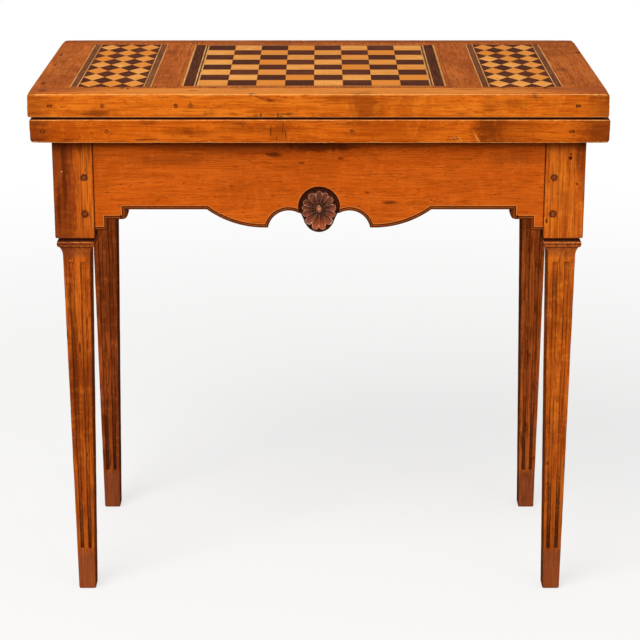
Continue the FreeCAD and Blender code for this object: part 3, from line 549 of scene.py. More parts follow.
def beaded_board(halves, thickness, tail=0, drop=()):
    """Points (along, inward, depth below the top), faces, wear and soil of an apron board.

    halves is one path along the whole lower edge, or two that run from the ends to the roundel,
    whose last points, tail of them, are cut there. drop is the edge of the drop below it.
    """
    points, wears, soils, faces = [], [], [], []

    def put(along, inward, depth, wear=0, soil=0):
        points.append((along, inward, depth))
        wears.append(wear)
        soils.append(soil)
        return len(points) - 1

    strips = []
    for path, squared in halves:
        strip = [[put(x, thickness, d) for x, d in (cut_at_roundel(path, tail) if tail else path)]]
        for offset, inward, wear, soil in bead_profile:
            line = inset(path, squared, math.copysign(offset * mm, path[0][0]), quirk_offset)
            line = cut_at_roundel(line, tail) if tail else line
            strip.append([put(x, inward * mm, d, wear, soil) for x, d in line])
        for low, high in zip(strip, strip[1:]):
            faces += ribbon(low, high)
        strips.append(strip)
    right, left = strips[0], strips[-1]
    corners = []
    for strip, end in ((right, 0), (left, 0 if tail else -1)):
        x = points[strip[0][end]][0]
        corners.append((put(x, 0, 0), put(x, thickness, 0)))
        faces.append(tuple(line[end] for line in strip) + corners[-1])
    faces.append((*corners[0], *reversed(corners[1])))
    if not tail:
        faces.append((*right[-1], corners[1][0], corners[0][0]))
        faces.append((*right[0], corners[1][1], corners[0][1]))
        return points, faces, wears, soils
    x, _, d = points[right[-1][-1]]
    start = math.atan2(roundel_depth - d, x)
    turns = [start + (math.pi - 2 * start) * k / rim_steps for k in range(1, rim_steps)]
    outer, crest, inner = [
        [put(r * math.cos(t), inward, roundel_depth - r * math.sin(t), wear, soil) for t in turns]
        for r, inward, wear, soil in ((roundel_radius + 2.5 * rim_round, 0, 0, 0),
                                      (roundel_radius + rim_round, 0, 1, 0),
                                      (roundel_radius, rim_round, 0.4, 0.6))]
    faces += ribbon(outer, crest) + ribbon(crest, inner)
    for edge, k in ((right[-1][-1], 0), (left[-1][-1], -1)):
        faces += [(edge, outer[k], crest[k]), (edge, crest[k], inner[k])]
    faces.append((*right[-1], *outer, *reversed(left[-1]), corners[1][0], corners[0][0]))
    brink = [line[-1] for line in right[1:]] + inner + [line[-1] for line in reversed(left[1:])]
    # The sunk floor of the roundel and of the drop gets painted shade
    floor = [put(points[k][0], roundel_sink, points[k][2], 0, 1) for k in brink]
    faces += ribbon(brink, floor)
    low_floor = [put(x, roundel_sink, d, 0, 0.9) for x, d in drop]
    low_back = [put(x, thickness, d, 0, 0.6) for x, d in drop]
    faces.append((*floor, *low_floor))
    faces += ribbon([floor[-1], *low_floor, floor[0]], [left[0][-1], *low_back, right[0][-1]])
    faces.append((*right[0], *reversed(low_back), *reversed(left[0]), corners[1][1], corners[0][1]))
    for strip, foot in ((right, floor[0]), (left, floor[-1])):
        last = (strip[0][-2], strip[0][-1], strip[1][-1], strip[1][-2])
        faces[faces.index(last)] = (strip[0][-2], strip[0][-1], foot, strip[1][-1], strip[1][-2])
    return points, faces, wears, soils


curves = [curve_start] + arc(curve_start, curve_middle, cusp, curve_steps)
curves += arc(cusp, arch_middle, drop_shoulder, arch_steps)
half_edge = [end + curves for end in stepped_end(apron_half)]
mirrored = [[(-x, d) for x, d in path] for path in half_edge]
drop = [drop_side] + arc(drop_side, (0, drop_depth), (-drop_side[0], drop_side[1]), drop_steps)
drop = [(-drop_shoulder[0], drop_shoulder[1])] + list(reversed(drop)) + [drop_shoulder]
points, faces, wears, soils = beaded_board((half_edge, mirrored), apron_thickness, arch_steps, drop)
points = [(along, apron_front + inward, apron_top - depth) for along, inward, depth in points]
# The apron is the brightest orange of the frame, with painted shadow mottled by dark smears under the
# leaf, painted shade on the sunk floor round the flower, and dark stains lower down
apron_seam = 1.4 * mm
apron_shadow = (5 * mm, 13 * mm)
apron_cherry = old_wood(
    "cherry planed and waxed apron", along_x, "#C45510", "#CF6118", "#A8480C", start=3.1,
    seams_and_shade_bands=[(0, -apron_half, apron_seam), (0, apron_half, apron_seam),
           (2, apron_top - apron_shadow[0], apron_shadow[1])],
    spots=marks([
        (2, -190, 671, 45, 30, 6, 0.7, "#34130A", 0.9),
        (-100, -190, 668, 90, 30, 8, 0.5, "#6A2B0E", 1.2),
        # Painted shade on the sunk floor round the flower
        (0, -186, 580, 34, 4, 43, 0.55, "#331A1A", 0.05),
        (-62, -190, 660, 10, 30, 3, 0.7, "#3C1606", 0.8),
        (-205, -190, 652, 50, 30, 6, 0.45, "#7A3410", 1.4),
        (270, -190, 655, 30, 30, 9, 0.45, "#7A3410", 1.4),
        (98, -190, 592, 10, 30, 2.2, 0.7, "#4C1C08", 0.9),
        (30, -190, 655, 4, 30, 1.8, 0.7, "#4C1C08", 0.8),
        (-24, -190, 648, 4, 30, 1.8, 0.6, "#4C1C08", 0.8)]))
apron = make_piece("front_apron_shaped", points, faces, apron_cherry, wear=wears, soil=soils)
stand_in(apron, "frame", "frame_cherry", "front_apron")

# Rosette
# A flower carved from one piece of darker wood and glued in the roundel: hollowed petals with raised
# rims, longer below, round an oval boss in a collar. The cuts between them are darkened with painted shade.
petal_reach = 25.8 * mm
upper_reach = 27.8 * mm
lower_reach = 33.4 * mm
petal_root = 7 * mm
petal_overlap = 0.95
petal_seed = 4
# Turns of the petals in degrees from the right, as uneven as the carver set them out
petal_turns = (5, 40, 65, 90, 120, 154, 176, 200, 231, 259, 281, 308, 337)
# A petal of unit size: shares across and along it, and its height from the middle out to the rim
petal_across = (-1, -0.92, -0.85, -0.74, -0.5, -0.25, 0, 0.25, 0.5, 0.74, 0.85, 0.92, 1)
petal_along = (0, 0.2, 0.4, 0.6, 0.76, 0.87, 0.93, 0.97, 1)
petal_hollow = ((0, 0.3), (0.5, 0.44), (0.74, 0.8), (0.85, 1), (0.92, 0.72), (1, 0))
rosette_depth = 98.8 * mm
boss_half = (5.2 * mm, 7.2 * mm)
boss_rise = 3 * mm
boss_sides = 28
collar_width = 2.2 * mm
floor_y = apron_front + roundel_sink
petal_height = floor_y - boss_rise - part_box("rosette")[0].y
flower_middle = Vector((0, floor_y, apron_top - rosette_depth))


def baked(name, tree, inputs, base=None):
    """The mesh that a node tree makes from a base mesh, as a plain object."""
    carrier = put_in_scene(name + "_carrier", base or bpy.data.meshes.new(name + "_base"))
    modifier = carrier.modifiers.new("nodes", "NODES")
    modifier.node_group = tree
    for socket in tree.interface.items_tree:
        if socket.in_out == "INPUT" and socket.name in inputs:
            modifier[socket.identifier] = inputs[socket.name]
    depsgraph = bpy.context.evaluated_depsgraph_get()
    mesh = bpy.data.meshes.new_from_object(
        carrier.evaluated_get(depsgraph), preserve_all_data_layers=True, depsgraph=depsgraph)
    bpy.data.objects.remove(carrier)
    mesh.name = name
    return put_in_scene(name, mesh)


def node_tree(name, sockets):
    """An empty geometry tree with a geometry input and output and named inputs."""
    tree = bpy.data.node_groups.new(name, "GeometryNodeTree")
    tree.interface.new_socket("Geometry", in_out="INPUT", socket_type="NodeSocketGeometry")
    tree.interface.new_socket("Geometry", in_out="OUTPUT", socket_type="NodeSocketGeometry")
    for key, kind in sockets.items():
        tree.interface.new_socket(key, in_out="INPUT", socket_type="NodeSocket" + kind)
    return tree, add(tree, "NodeGroupInput").outputs


def grid_faces(rows, wide):
    """Faces of a grid of points, and the points round its edge in order."""
    size = rows * wide
    faces = []
    for i in range(rows - 1):
        for k in range(i * wide, i * wide + wide - 1):
            faces.append((k, k + 1, k + wide + 1, k + wide))
    rim = list(range(wide)) + [i * wide + wide - 1 for i in range(1, rows)]
    rim += list(range(size - 2, size - wide - 1, -1)) + [i * wide for i in range(rows - 2, 0, -1)]
    return faces, rim


def petal_blank(material):
    """One petal lying along X, one unit long, wide and high: hollow, with a raised rim and a round tip."""
    points, wears, soils = [], [], []
    for a in petal_along:
        for b in petal_across:
            rim = min(1, (b ** 6 + max(0, (a - 0.2) / 0.8) ** 6) ** (1 / 6))
            (r0, h0), (r1, h1) = next(p for p in zip(petal_hollow, petal_hollow[1:]) if rim <= p[1][0])
            lift = h0 + (h1 - h0) * (rim - r0) / (r1 - r0)
            points.append((a * (1 - 0.22 * b * b), b * (0.3 + 0.7 * a ** 0.85), lift * (0.75 + 0.25 * a)))
            # Ridges get painted highlights, strongest on one side of a petal's inner half; the cuts round
            # the rims get painted shade, and the hollows more of it towards the root
            wears.append((1.25 if b > 0 and a < 0.8 else 0.82) * (0.8 < rim < 0.9))
            soils.append(1.2 if rim > 0.9 or a == 0 else 0.25 + 0.7 * (1 - a) * (1 - 0.6 * rim))
    faces, rim = grid_faces(len(petal_along), len(petal_across))
    top = len(points)
    for k in rim:
        points.append((points[k][0], points[k][1], -0.1))
        wears.append(0)
        soils.append(1)
    for k in range(len(rim)):
        after = (k + 1) % len(rim)
        faces.append((rim[k], rim[after], top + after, top + k))
    faces.append(tuple(range(top, top + len(rim))))
    return make_piece("petal_blank", points, faces, material, wear=wears, soil=soils)


def flower_tree():
    """Petals round the middle of a flower, each stretched to the outline of an egg."""
    tree, given = node_tree("carved flower", {
        "Petal": "Object", "Root": "Float", "Reach": "Float", "Upper reach": "Float", "Lower reach": "Float",
        "Height": "Float", "Middle": "Vector", "Seed": "Int", "Finish": "Material"})
    angle, spread = [add(tree, "GeometryNodeInputNamedAttribute", {"Name": key}, data_type="FLOAT")
                     for key in ("turn", "spread")]
    up = add(tree, "ShaderNodeMath", {0: angle}, operation="SINE")
    side = add(tree, "ShaderNodeMath", {0: angle}, operation="COSINE")
    below = add(tree, "ShaderNodeMath", {0: up, 1: 0}, operation="LESS_THAN")
    long = add(tree, "ShaderNodeMix", {0: below, 2: given["Upper reach"], 3: given["Lower reach"]})
    across = add(tree, "ShaderNodeMath", {0: side, 1: given["Reach"]}, operation="DIVIDE")
    upright = add(tree, "ShaderNodeMath", {0: up, 1: long}, operation="DIVIDE")
    both = add(tree, "ShaderNodeCombineXYZ", {0: across, 1: upright})
    inverse = add(tree, "ShaderNodeVectorMath", {0: both}, operation="LENGTH")
    reach = add(tree, "ShaderNodeMath", {0: 1, 1: inverse}, operation="DIVIDE")
    length = add(tree, "ShaderNodeMath", {0: reach, 1: given["Root"]}, operation="SUBTRACT")
    width = add(tree, "ShaderNodeMath", {0: reach, 1: spread}, operation="MULTIPLY")
    size = add(tree, "ShaderNodeCombineXYZ", {0: length, 1: width, 2: given["Height"]})
    turn = add(tree, "ShaderNodeCombineXYZ", {2: angle})
    seat = add(tree, "ShaderNodeCombineXYZ", {0: side, 1: up})
    seat = add(tree, "ShaderNodeVectorMath", {0: seat, "Scale": given["Root"]}, operation="SCALE")
    ring = add(tree, "GeometryNodeSetPosition", {"Geometry": given["Geometry"], "Position": seat})
    petal = add(tree, "GeometryNodeObjectInfo", {"Object": given["Petal"]}).outputs["Geometry"]
    petals = add(tree, "GeometryNodeInstanceOnPoints", {
        "Points": ring, "Instance": petal, "Rotation": turn, "Scale": size})
    tone = add(tree, "FunctionNodeRandomValue", {3: 0.7, "Seed": given["Seed"]}, data_type="FLOAT")
    toned = add(tree, "GeometryNodeStoreNamedAttribute", {"Geometry": petals, "Name": "tone", "Value": tone},
                data_type="FLOAT", domain="INSTANCE")
    whole = add(tree, "GeometryNodeRealizeInstances", {0: toned})
    upended = add(tree, "GeometryNodeTransform", {
        "Geometry": whole, "Rotation": (math.pi / 2, 0, 0), "Translation": given["Middle"]})
    done = add(tree, "GeometryNodeSetMaterial", {"Geometry": upended, "Material": given["Finish"]})
    add(tree, "NodeGroupOutput", {0: done})
    return tree


# Carved fruitwood is a deep red brown, made black in the cuts by painted shade, with painted highlights
# on its pale rims and a painted patch of light on the lower petals
floor_mm = floor_y / mm
carved = old_wood(
    "fruitwood carved and waxed", along_z, "#70391F", "#98542F", "#472211", rubbed_and_highlight="#E4B296", tone="#8C4630",
    sheen=0.15, start=5.3, spots=marks([
        # First a painted patch of light on the lower petals, then two redder side petals
        (0, floor_mm, 562, 10, 30, 13, 0.75, "#A84C1A", 0.5),
        (-19, floor_mm, 580, 12, 30, 12, 0.5, "#8C3C22", 0.9),
        (17, floor_mm, 573, 10, 30, 12, 0.5, "#8C3C22", 0.9)]))
blank = petal_blank(carved)
seats = bpy.data.meshes.new("petal_seats")
seats.from_pydata([(0, 0, 0)] * len(petal_turns), [], [])
neighbours = [*petal_turns[1:], petal_turns[0] + 360]
gaps = [after - turn for turn, after in zip(petal_turns, neighbours)]
spreads = [math.tan(math.radians(gaps[k - 1] + gaps[k]) / 4) * petal_overlap for k in range(len(gaps))]
for key, values in (("turn", [math.radians(turn) for turn in petal_turns]), ("spread", spreads)):
    seats.attributes.new(key, "FLOAT", "POINT").data.foreach_set("value", values)
flower = baked("rosette_petals", flower_tree(), {
    "Petal": blank, "Seed": petal_seed, "Root": petal_root, "Reach": petal_reach, "Upper reach": upper_reach,
    "Lower reach": lower_reach, "Height": petal_height, "Middle": flower_middle, "Finish": carved}, seats)
bpy.data.objects.remove(blank)
stand_in(flower, "frame", "rosette_wood", "rosette")

# The boss and its collar are turned from one outline: share of the boss's size, height, wear, soil.
# The wear paints highlights on the collar and crown, the soil paints shade in the groove and at the foot
boss_profile = ((1 + collar_width / boss_half[0], -0.2, 0, 1.1), (1.4, 0.55, 0, 1.1), (1.32, 0.78, 0.3, 0.3),
                (1.2, 0.76, 0, 0.6), (1.05, 0.45, 0, 1.2), (0.98, 0.62, 0, 1.1), (0.86, 1.08, 0, 0.5),
                (0.62, 1.34, 0.3, 0), (0.32, 1.46, 0.9, 0), (0.05, 1.49, 1, 0))
points = []
for share, rise, *_ in boss_profile:
    for k in range(boss_sides):
        angle = 2 * math.pi * k / boss_sides
        points.append((share * boss_half[0] * math.cos(angle), flower_middle.y - rise * petal_height,
                       flower_middle.z + share * boss_half[1] * math.sin(angle)))
wears, soils = [[row[n] for row in boss_profile for _ in range(boss_sides)] for n in (2, 3)]
# The boss has a painted orange highlight on its crown, drawn as rubbed wood
boss_wood = old_wood("fruitwood boss with painted highlight", along_z, "#7C3C1A", "#96501F", "#552410",
                     rubbed_and_highlight="#DE8A3E", sheen=0.5, start=6.1)
boss = make_piece("rosette_boss", points, loft(boss_sides, len(boss_profile)), boss_wood, wear=wears,
                  soil=soils)
stand_in(boss, "frame", "rosette_wood", "rosette")

# Side aprons
# Two cherry boards like the front one, with the same stepped ends and bead but a straight lower edge.
# They run from the front legs back to the plane where the gates close, pegged and waxed.
side_low, side_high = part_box("side_apron_right")
side_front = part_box("front_leg_right")[1].y
side_middle = (side_front + side_high.y) / 2
side_half = (side_high.y - side_front) / 2
side_edge = [end + [(-x, d) for x, d in reversed(end)] for end in stepped_end(side_half)]
# Out of the light and less handled, this cherry has stayed a plain brown orange
side_cherry = old_wood("cherry planed and waxed side", along_y, "#B04E14", "#C25C1A", "#86380E", start=4.4)
points, faces, wears, soils = beaded_board((side_edge,), side_high.x - side_low.x)
for name, outward in (("left", -1), ("right", 1)):
    placed = [(outward * (side_high.x - inward), side_middle + along, apron_top - depth)
              for along, inward, depth in points]
    side = make_piece("side_apron_beaded_" + name, placed, faces, side_cherry, wear=wears, soil=soils)
    stand_in(side, "frame", "frame_cherry", "side_apron_" + name)

# Pegs
# Drawbore pegs of split oak, whittled to a rough round and driven through the leg blocks and tenons.
# Their ends stand a hair proud, rounded and dark with wax.
peg_radius = 4.2 * mm
peg_proud = 0.4 * mm
peg_length = 32 * mm
gate_peg_length = 52 * mm
gate_peg_rise = 21 * mm
peg_sides = 14
peg_outline = 1.0
frame_peg_seed = 3
gate_peg_seed = 5
# Round heads are spun at random by up to nearly a full turn, in radians
any_turn = 6.0


def driven_tree():
    """Copies of one head on points, each turned to its own facing and spun at random."""
    tree, given = node_tree("driven heads", {
        "Head": "Object", "Spin": "Float", "Seed": "Int", "Finish": "Material"})
    facing = add(tree, "GeometryNodeInputNamedAttribute", {"Name": "facing"}, data_type="FLOAT_VECTOR")
    aim = add(tree, "FunctionNodeAlignRotationToVector", {"Vector": facing}, axis="Z")
    spin = add(tree, "FunctionNodeRandomValue", {3: given["Spin"], "Seed": given["Seed"]}, data_type="FLOAT")
    turn = add(tree, "ShaderNodeCombineXYZ", {2: spin})
    turned = add(tree, "FunctionNodeRotateRotation", {0: aim, 1: turn}, rotation_space="LOCAL")
    head = add(tree, "GeometryNodeObjectInfo", {"Object": given["Head"]}).outputs["Geometry"]
    heads = add(tree, "GeometryNodeInstanceOnPoints", {
        "Points": given["Geometry"], "Instance": head, "Rotation": turned})
    whole = add(tree, "GeometryNodeRealizeInstances", {0: heads})
    done = add(tree, "GeometryNodeSetMaterial", {"Geometry": whole, "Material": given["Finish"]})
    add(tree, "NodeGroupOutput", {0: done})
    return tree


driven_heads = driven_tree()


def drive(name, head, seats, spin, seed, material):
    """One piece with a copy of the head at each seat, a (place, facing) pair."""
    base = bpy.data.meshes.new(name + "_seats")
    base.from_pydata([place for place, _ in seats], [], [])
    facing = base.attributes.new("facing", "FLOAT_VECTOR", "POINT")
    facing.data.foreach_set("vector", [value for _, way in seats for value in way])
    return baked(name, driven_heads, {"Head": head, "Spin": spin, "Seed": seed, "Finish": material}, base)


def whittled_peg(name, length, radius, proud, outline, material):
    """A peg that points along +Z with its head at the origin, its sides left in flats."""
    levels = ((0.12, 1.0), (0.6, 0.82), (0.92, 0.4), (1.0, 0.0), (1.0, -0.6), (0.98, -length / radius))
    points, soils = [], []
    for share, rise in levels:
        for k in range(peg_sides):
            angle = 2 * math.pi * k / peg_sides
            out = radius * share * (1 + 0.05 * math.sin(3 * angle + 1) + 0.03 * math.sin(5 * angle))
            height = proud * rise if rise >= 0 else radius * rise
            points.append((out * math.cos(angle), out * math.sin(angle), height))
            # The outline is painted shade round a proud head and a dark joint round a flush one
            soils.append(outline if -0.7 < rise <= 0.5 else 0.15)
    return make_piece(name, points, loft(peg_sides, len(levels)), material, soil=soils)


# End grain drinks the wax, so each peg shows as a dark brown disc, with a black outline of painted shade
# round its proud head
peg_oak = old_wood("oak split and waxed end grain", along_y, "#7C3C1C", "#925028", "#5A2A12", start=7.7)
peg = whittled_peg("peg_blank", peg_length, peg_radius, peg_proud, peg_outline, peg_oak)
front_leg_low, front_leg_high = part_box("front_leg_right")
seats = []
for side in (-1, 1):
    for depth in peg_depths:
        z = apron_top - depth
        seats.append(((side * (front_leg_low.x + peg_edge_distance), front_leg_low.y, z), (0, -1, 0)))
        seats.append(((side * front_leg_high.x, front_leg_high.y - peg_edge_distance, z), (side, 0, 0)))
pegs = drive("frame_pegs_driven", peg, seats, any_turn, frame_peg_seed, peg_oak)
stand_in(pegs, "frame", "peg_wood", "frame_pegs")
bpy.data.objects.remove(peg)
gate_peg = whittled_peg("gate_peg_blank", gate_peg_length, peg_radius, peg_proud, peg_outline, peg_oak)
rear_leg_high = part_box("rear_leg_right")[1]
gate_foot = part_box("fly_rail_right")[0].z
gate_peg_heights = (apron_top - peg_depths[0], gate_foot + gate_peg_rise)
for name, side in (("left", -1), ("right", 1)):
    x = side * (rear_leg_high.x - block_width + peg_edge_distance)
    seats = [((x, rear_leg_high.y, z), (0, 1, 0)) for z in gate_peg_heights]
    pegs = drive("gate_pegs_driven_" + name, gate_peg, seats, any_turn, gate_peg_seed, peg_oak)
    stand_in(pegs, name + "_gate", "peg_wood", "gate_pegs_" + name)
bpy.data.objects.remove(gate_peg)

# Inner rails, gates and blocks
# The hidden carcase is planed oak, left without finish: the back rail with the hinge block screwed on
# it, the two fly rails that swing on wooden knuckles, and glue blocks rubbed into the corners.


def refinish(material, *nodes):
    """Gives the nodes' own solids a new material."""
    for node in nodes:
        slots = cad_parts[node].data.materials
        slots.clear()
        slots.append(material)


# Bare oak is a dry grey brown with open pores, and the fly rails, oiled by hands, are redder
oak_rail = old_wood("oak planed and bare", along_x, "#8C5A30", "#A06C3C", "#6A4020", sheen=0.1, start=8.2)
oak_gate = old_wood("oak planed and oiled", along_x, "#854A22", "#99582A", "#653416", sheen=0.15, start=9.1)
oak_block = old_wood("oak sawn and bare", along_x, "#976238", "#A97446", "#74492A", sheen=0.1, start=9.9)
refinish(oak_rail, "inner_back_rail", "gate_hinge_block")
refinish(oak_gate, "fly_rail_left", "fly_rail_right")
refinish(oak_block, "glue_blocks")

# Leaf rails and boards
# Each leaf has three cherry boards with the grain front to back, tongued between a front and a back
# rail. The front rails are handled most: their arrises are rubbed pale, chipped and stained.
rail_arris = 3.2 * mm
corner_arris = 5.5 * mm
corner_reach = (40 * mm, 30 * mm)
gap_arris = 1.8 * mm
rail_set_in = 0.25 * mm
gap_set_in = 0.5 * mm
gap_grime_and_shade = (2 * mm, 12 * mm)
# Steps of a rail's grid along, into and up it, and its first steps from an arris in millimetres
rail_steps = (3.5 * mm, 6 * mm, 3 * mm)
fine_steps = (0, 0.35, 0.75, 1.2, 1.7, 2.3, 3.0, 3.8, 5.0, 6.5, 8.5)
chip_spacing = 8 * mm
chip_depth = 4.5 * mm
chip_limit = 0.32
waver_spacing = 45 * mm
waver_share = 0.22
grime_spacing = 26 * mm
grime_line = 5 * mm
hinge_spacing = 270 * mm
hinge_places = (-hinge_spacing, 0, hinge_spacing)
hinge_half = 31 * mm
knuckle_relief = 6.3 * mm
relief_fade = 4 * mm


def spaced(length, fine_ends, step):
    """Places from 0 to length: close together at the ends named, then a step apart."""
    first = [d * mm for d in fine_steps] if fine_ends[0] else [0]
    last = [length - d * mm for d in reversed(fine_steps)] if fine_ends[1] else [length]
    count = max(1, round((last[0] - first[-1]) / step))
    between = [first[-1] + (last[0] - first[-1]) * k / count for k in range(1, count)]
    return first + between + last


def worn_rail(name, node, material, seed, outward, gap_below):
    """A rail as a fine grid wrapped on its box, its outer arrises rounded and rubbed uneven.

    outward is -1 for a front rail and 1 for a back one. Beside the gap between the leaves the
    arrises are sharper, but a back rail is cut away there for the knuckles of its hinges.
    """
    low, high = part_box(node)
    low.z += gap_set_in if gap_below else 0
    high.z -= 0 if gap_below else gap_set_in
    face = (low.y if outward < 0 else high.y) - outward * rail_set_in
    depth = high.y - low.y - rail_set_in
    lines = [[low.x + d for d in spaced(high.x - low.x, (True, True), rail_steps[0])],
             [face - outward * d for d in spaced(depth, (True, False), rail_steps[1])],
             [low.z + d for d in spaced(high.z - low.z, (True, True), rail_steps[2])]]
    counts = [len(line) for line in lines]
    numbers, points, wears, soils = {}, [], [], []

    def vertex(i, j, k):
        if (i, j, k) in numbers:
            return numbers[i, j, k]
        spot = Vector((lines[0][i], lines[1][j], lines[2][k]))
        along = spot.x - low.x
        inward = (face - spot.y) * outward
        upper = k > counts[2] // 2
        at_gap = (k < counts[2] // 2) == gap_below
        chip = max(0, noise.noise((along / chip_spacing, seed + 9 * upper, 0)) - chip_limit) * chip_depth
        end = min(along, high.x - spot.x)
        blend = max(0, 1 - end / corner_reach[0]) * max(0, 1 - inward / corner_reach[1])
        radius = gap_arris if at_gap else rail_arris
        radius *= 1 + waver_share * noise.noise((along / waver_spacing, seed, 3))
        radius += chip * (0.6 if at_gap else 1)
        radius += (corner_arris - rail_arris) * blend * (0.3 if at_gap else 1)
        if outward > 0 and at_gap:
            clear = min(abs(spot.x - hinge) for hinge in hinge_places) - hinge_half
            radius += (knuckle_relief - radius) * min(1, max(0, 1 - clear / relief_fade))
        core = Vector((min(max(spot.x, low.x + radius), high.x - radius),
                       face - outward * max(inward, radius),
                       min(max(spot.z, low.z + radius), high.z - radius)))
        out = spot - core
        shares = sorted(abs(value) / radius for value in out)
        spot = core + out.normalized() * radius if out.length > 0 else spot
        numbers[i, j, k] = len(points)
        points.append(spot)
        rub = min(1, shares[1] * 1.15 + 40 * chip) if shares[1] > 0.02 else 0
        wears.append((rub + 0.15 * at_gap * (rub > 0)) * (1 - 0.7 * abs(out.x) / radius))
        from_edge = min(spot.z - low.z, high.z - spot.z)
        beside = max(0, 1 - abs(from_edge - grime_line) / grime_line) * (j == 0)
        grime = 0.75 * beside * max(0, noise.noise((along / grime_spacing, seed, spot.z * 40)) + 0.3)
        # Behind a front arris the faces in the gap darken: grime where the leaf is lifted, and painted shade
        # in the closed gap
        in_gap = at_gap and k in (0, counts[2] - 1) and outward < 0 and inward > gap_grime_and_shade[0]
        soils.append(max(0, 1.15 - inward / gap_grime_and_shade[1]) if in_gap else grime)
        return numbers[i, j, k]

    faces = []
    for a in range(3):
        b, c = (a + 1) % 3, (a + 2) % 3
        for side in (0, counts[a] - 1):
            for p in range(counts[b] - 1):
                for q in range(counts[c] - 1):
                    corners = []
                    for u, v in ((p, q), (p + 1, q), (p + 1, q + 1), (p, q + 1)):
                        at = [0, 0, 0]
                        at[a], at[b], at[c] = side, u, v
                        corners.append(vertex(*at))
                    faces.append(tuple(corners))
    return make_piece(name, points, faces, material, wear=wears, soil=soils)


# Handled and waxed cherry glows orange, the lower leaf a little deeper, with pale arrises and dark
# stains and bruises. The boards and back rails, rubbed less, are browner, and their colour also holds
# painted shade for the dimmer light on the top.
stain = "#7A3209"
bruise = "#3A1405"
scratch = "#DC9A56"
leaf_tints = {"upper": ("#CE6412", "#DC751C", "#A8480A"), "lower": ("#C4590C", "#D26815", "#9C4008")}
# Dark chips along the joint and short cracks in the top: place, half width and length in millimetres
mark_depth = 4
top_marks = marks([
    (x, y, cad_high.z / mm, wide, long, mark_depth, strength, "#3A1409", 0.7)
    for x, y, wide, long, strength in (
        (-385, 83, 2.2, 10, 0.7), (-384, 1, 2, 8, 0.6), (-382, -142, 3, 12, 0.65), (-377, -194, 5, 8, 0.6),
        (-316, -171, 6, 4, 0.75), (-270, -175, 3.5, 5, 0.75), (-262, -181, 1.8, 7, 0.7),
        (-221, 103, 10, 18, 0.3), (388, 103, 4, 6, 0.75), (348, -38, 8, 14, 0.4), (366, 2, 2, 4, 0.5),
        (252, -174, 3.5, 5, 0.75), (311, -174, 3, 6, 0.75), (202, -185, 20, 2.4, 0.55),
        (-146, -173, 6, 2.4, 0.7), (-172, -194, 8, 3, 0.5), (-107, -182, 10, 2.6, 0.5),
        (292, -216, 3, 5, 0.6), (-90, -216, 5, 5, 0.6))])
# Painted sheen in a pale band along the top of the upper front rail, darkening towards the ends of the
# leaves, stains, bruises and scratches of the front edges
edge_marks = {
    "upper": marks([
        # Painted sheen along the top of the front rail
        (0, -198, 750, 330, 26, 3, 0.5, "#E8963F", 0.5),
        (62, -218, 733, 20, 20, 20, 0.55, stain, 1.0),
        (22, -218, 744, 22, 20, 5, 0.5, stain, 1.2),
        (-66, -218, 741, 4.5, 20, 1.4, 0.85, bruise, 0.6, 0.25),
        (-68, -218, 741.5, 9, 20, 3, 0.5, stain, 1.0, 0.25),
        (-82, -218, 745.5, 8, 20, 0.9, 0.7, bruise, 0.7, 0.3),
        (-79, -218, 720, 1.3, 20, 4, 0.8, bruise, 0.5),
        (-86, -218, 719, 5, 20, 3, 0.6, stain, 1.0),
        (-56, -218, 719.5, 1.1, 20, 5.5, 0.8, bruise, 0.5),
        (-52, -218, 718.5, 3, 20, 1.6, 0.7, bruise, 0.7),
        (265, -218, 737, 16, 20, 6, 0.5, stain, 1.4),
        (230, -218, 733, 7, 20, 10, 0.45, stain, 1.4),
        (-300, -218, 724, 20, 20, 4, 0.6, "#4E1E06", 1.4),
        (-390, -218, 733, 22, 20, 40, 0.5, "#6E2E0E", 1.3),
        (392, -218, 733, 24, 20, 40, 0.55, "#66290C", 1.3),
        (-390, -183, 750, 90, 24, 4, 0.6, "#8A421A", 0.8),
        (390, -183, 750, 90, 24, 4, 0.5, "#8A421A", 0.8)]),
    "lower": marks([
        (232, -218, 702, 16, 20, 22, 0.7, "#5E2206", 1.2),
        (250, -218, 696, 30, 20, 30, 0.3, "#6A2A0A", 1.3),
        (-65.5, -218, 699, 0.9, 20, 9, 0.7, bruise, 0.9, 0.05),
        (-49.5, -218, 702, 0.8, 20, 10, 0.7, bruise, 0.8, 0.12),
        (-45.5, -218, 694, 0.8, 20, 8, 0.7, bruise, 0.8, -0.2),
        (-57.5, -218, 689, 0.8, 20, 5, 0.6, bruise, 0.8),
        (181, -218, 688, 0.4, 20, 4.5, 0.5, scratch, 0.3, -0.85),
        (186, -218, 688, 0.5, 20, 5.5, 0.6, scratch, 0.3, -0.7),
        (192, -218, 688, 0.5, 20, 6, 0.6, scratch, 0.3, -0.6),
        (213.5, -218, 691, 0.5, 20, 8, 0.6, scratch, 0.3, -0.45),
        (216.5, -218, 687.5, 0.5, 20, 6, 0.6, scratch, 0.3, -0.55),
        (-56, -218, 700, 16, 20, 12, 0.45, stain, 1.3),
        (-180, -218, 697, 22, 20, 4, 0.5, "#5A2208", 1.4),
        (-100, -218, 703, 30, 20, 6, 0.4, stain, 1.4),
        (388, -218, 698, 28, 20, 40, 0.65, "#5C240A", 1.2),
        (-392, -218, 698, 24, 20, 40, 0.6, "#66290C", 1.2)])
}
rail_seam = 0.7 * mm
board_seam = 0.5 * mm
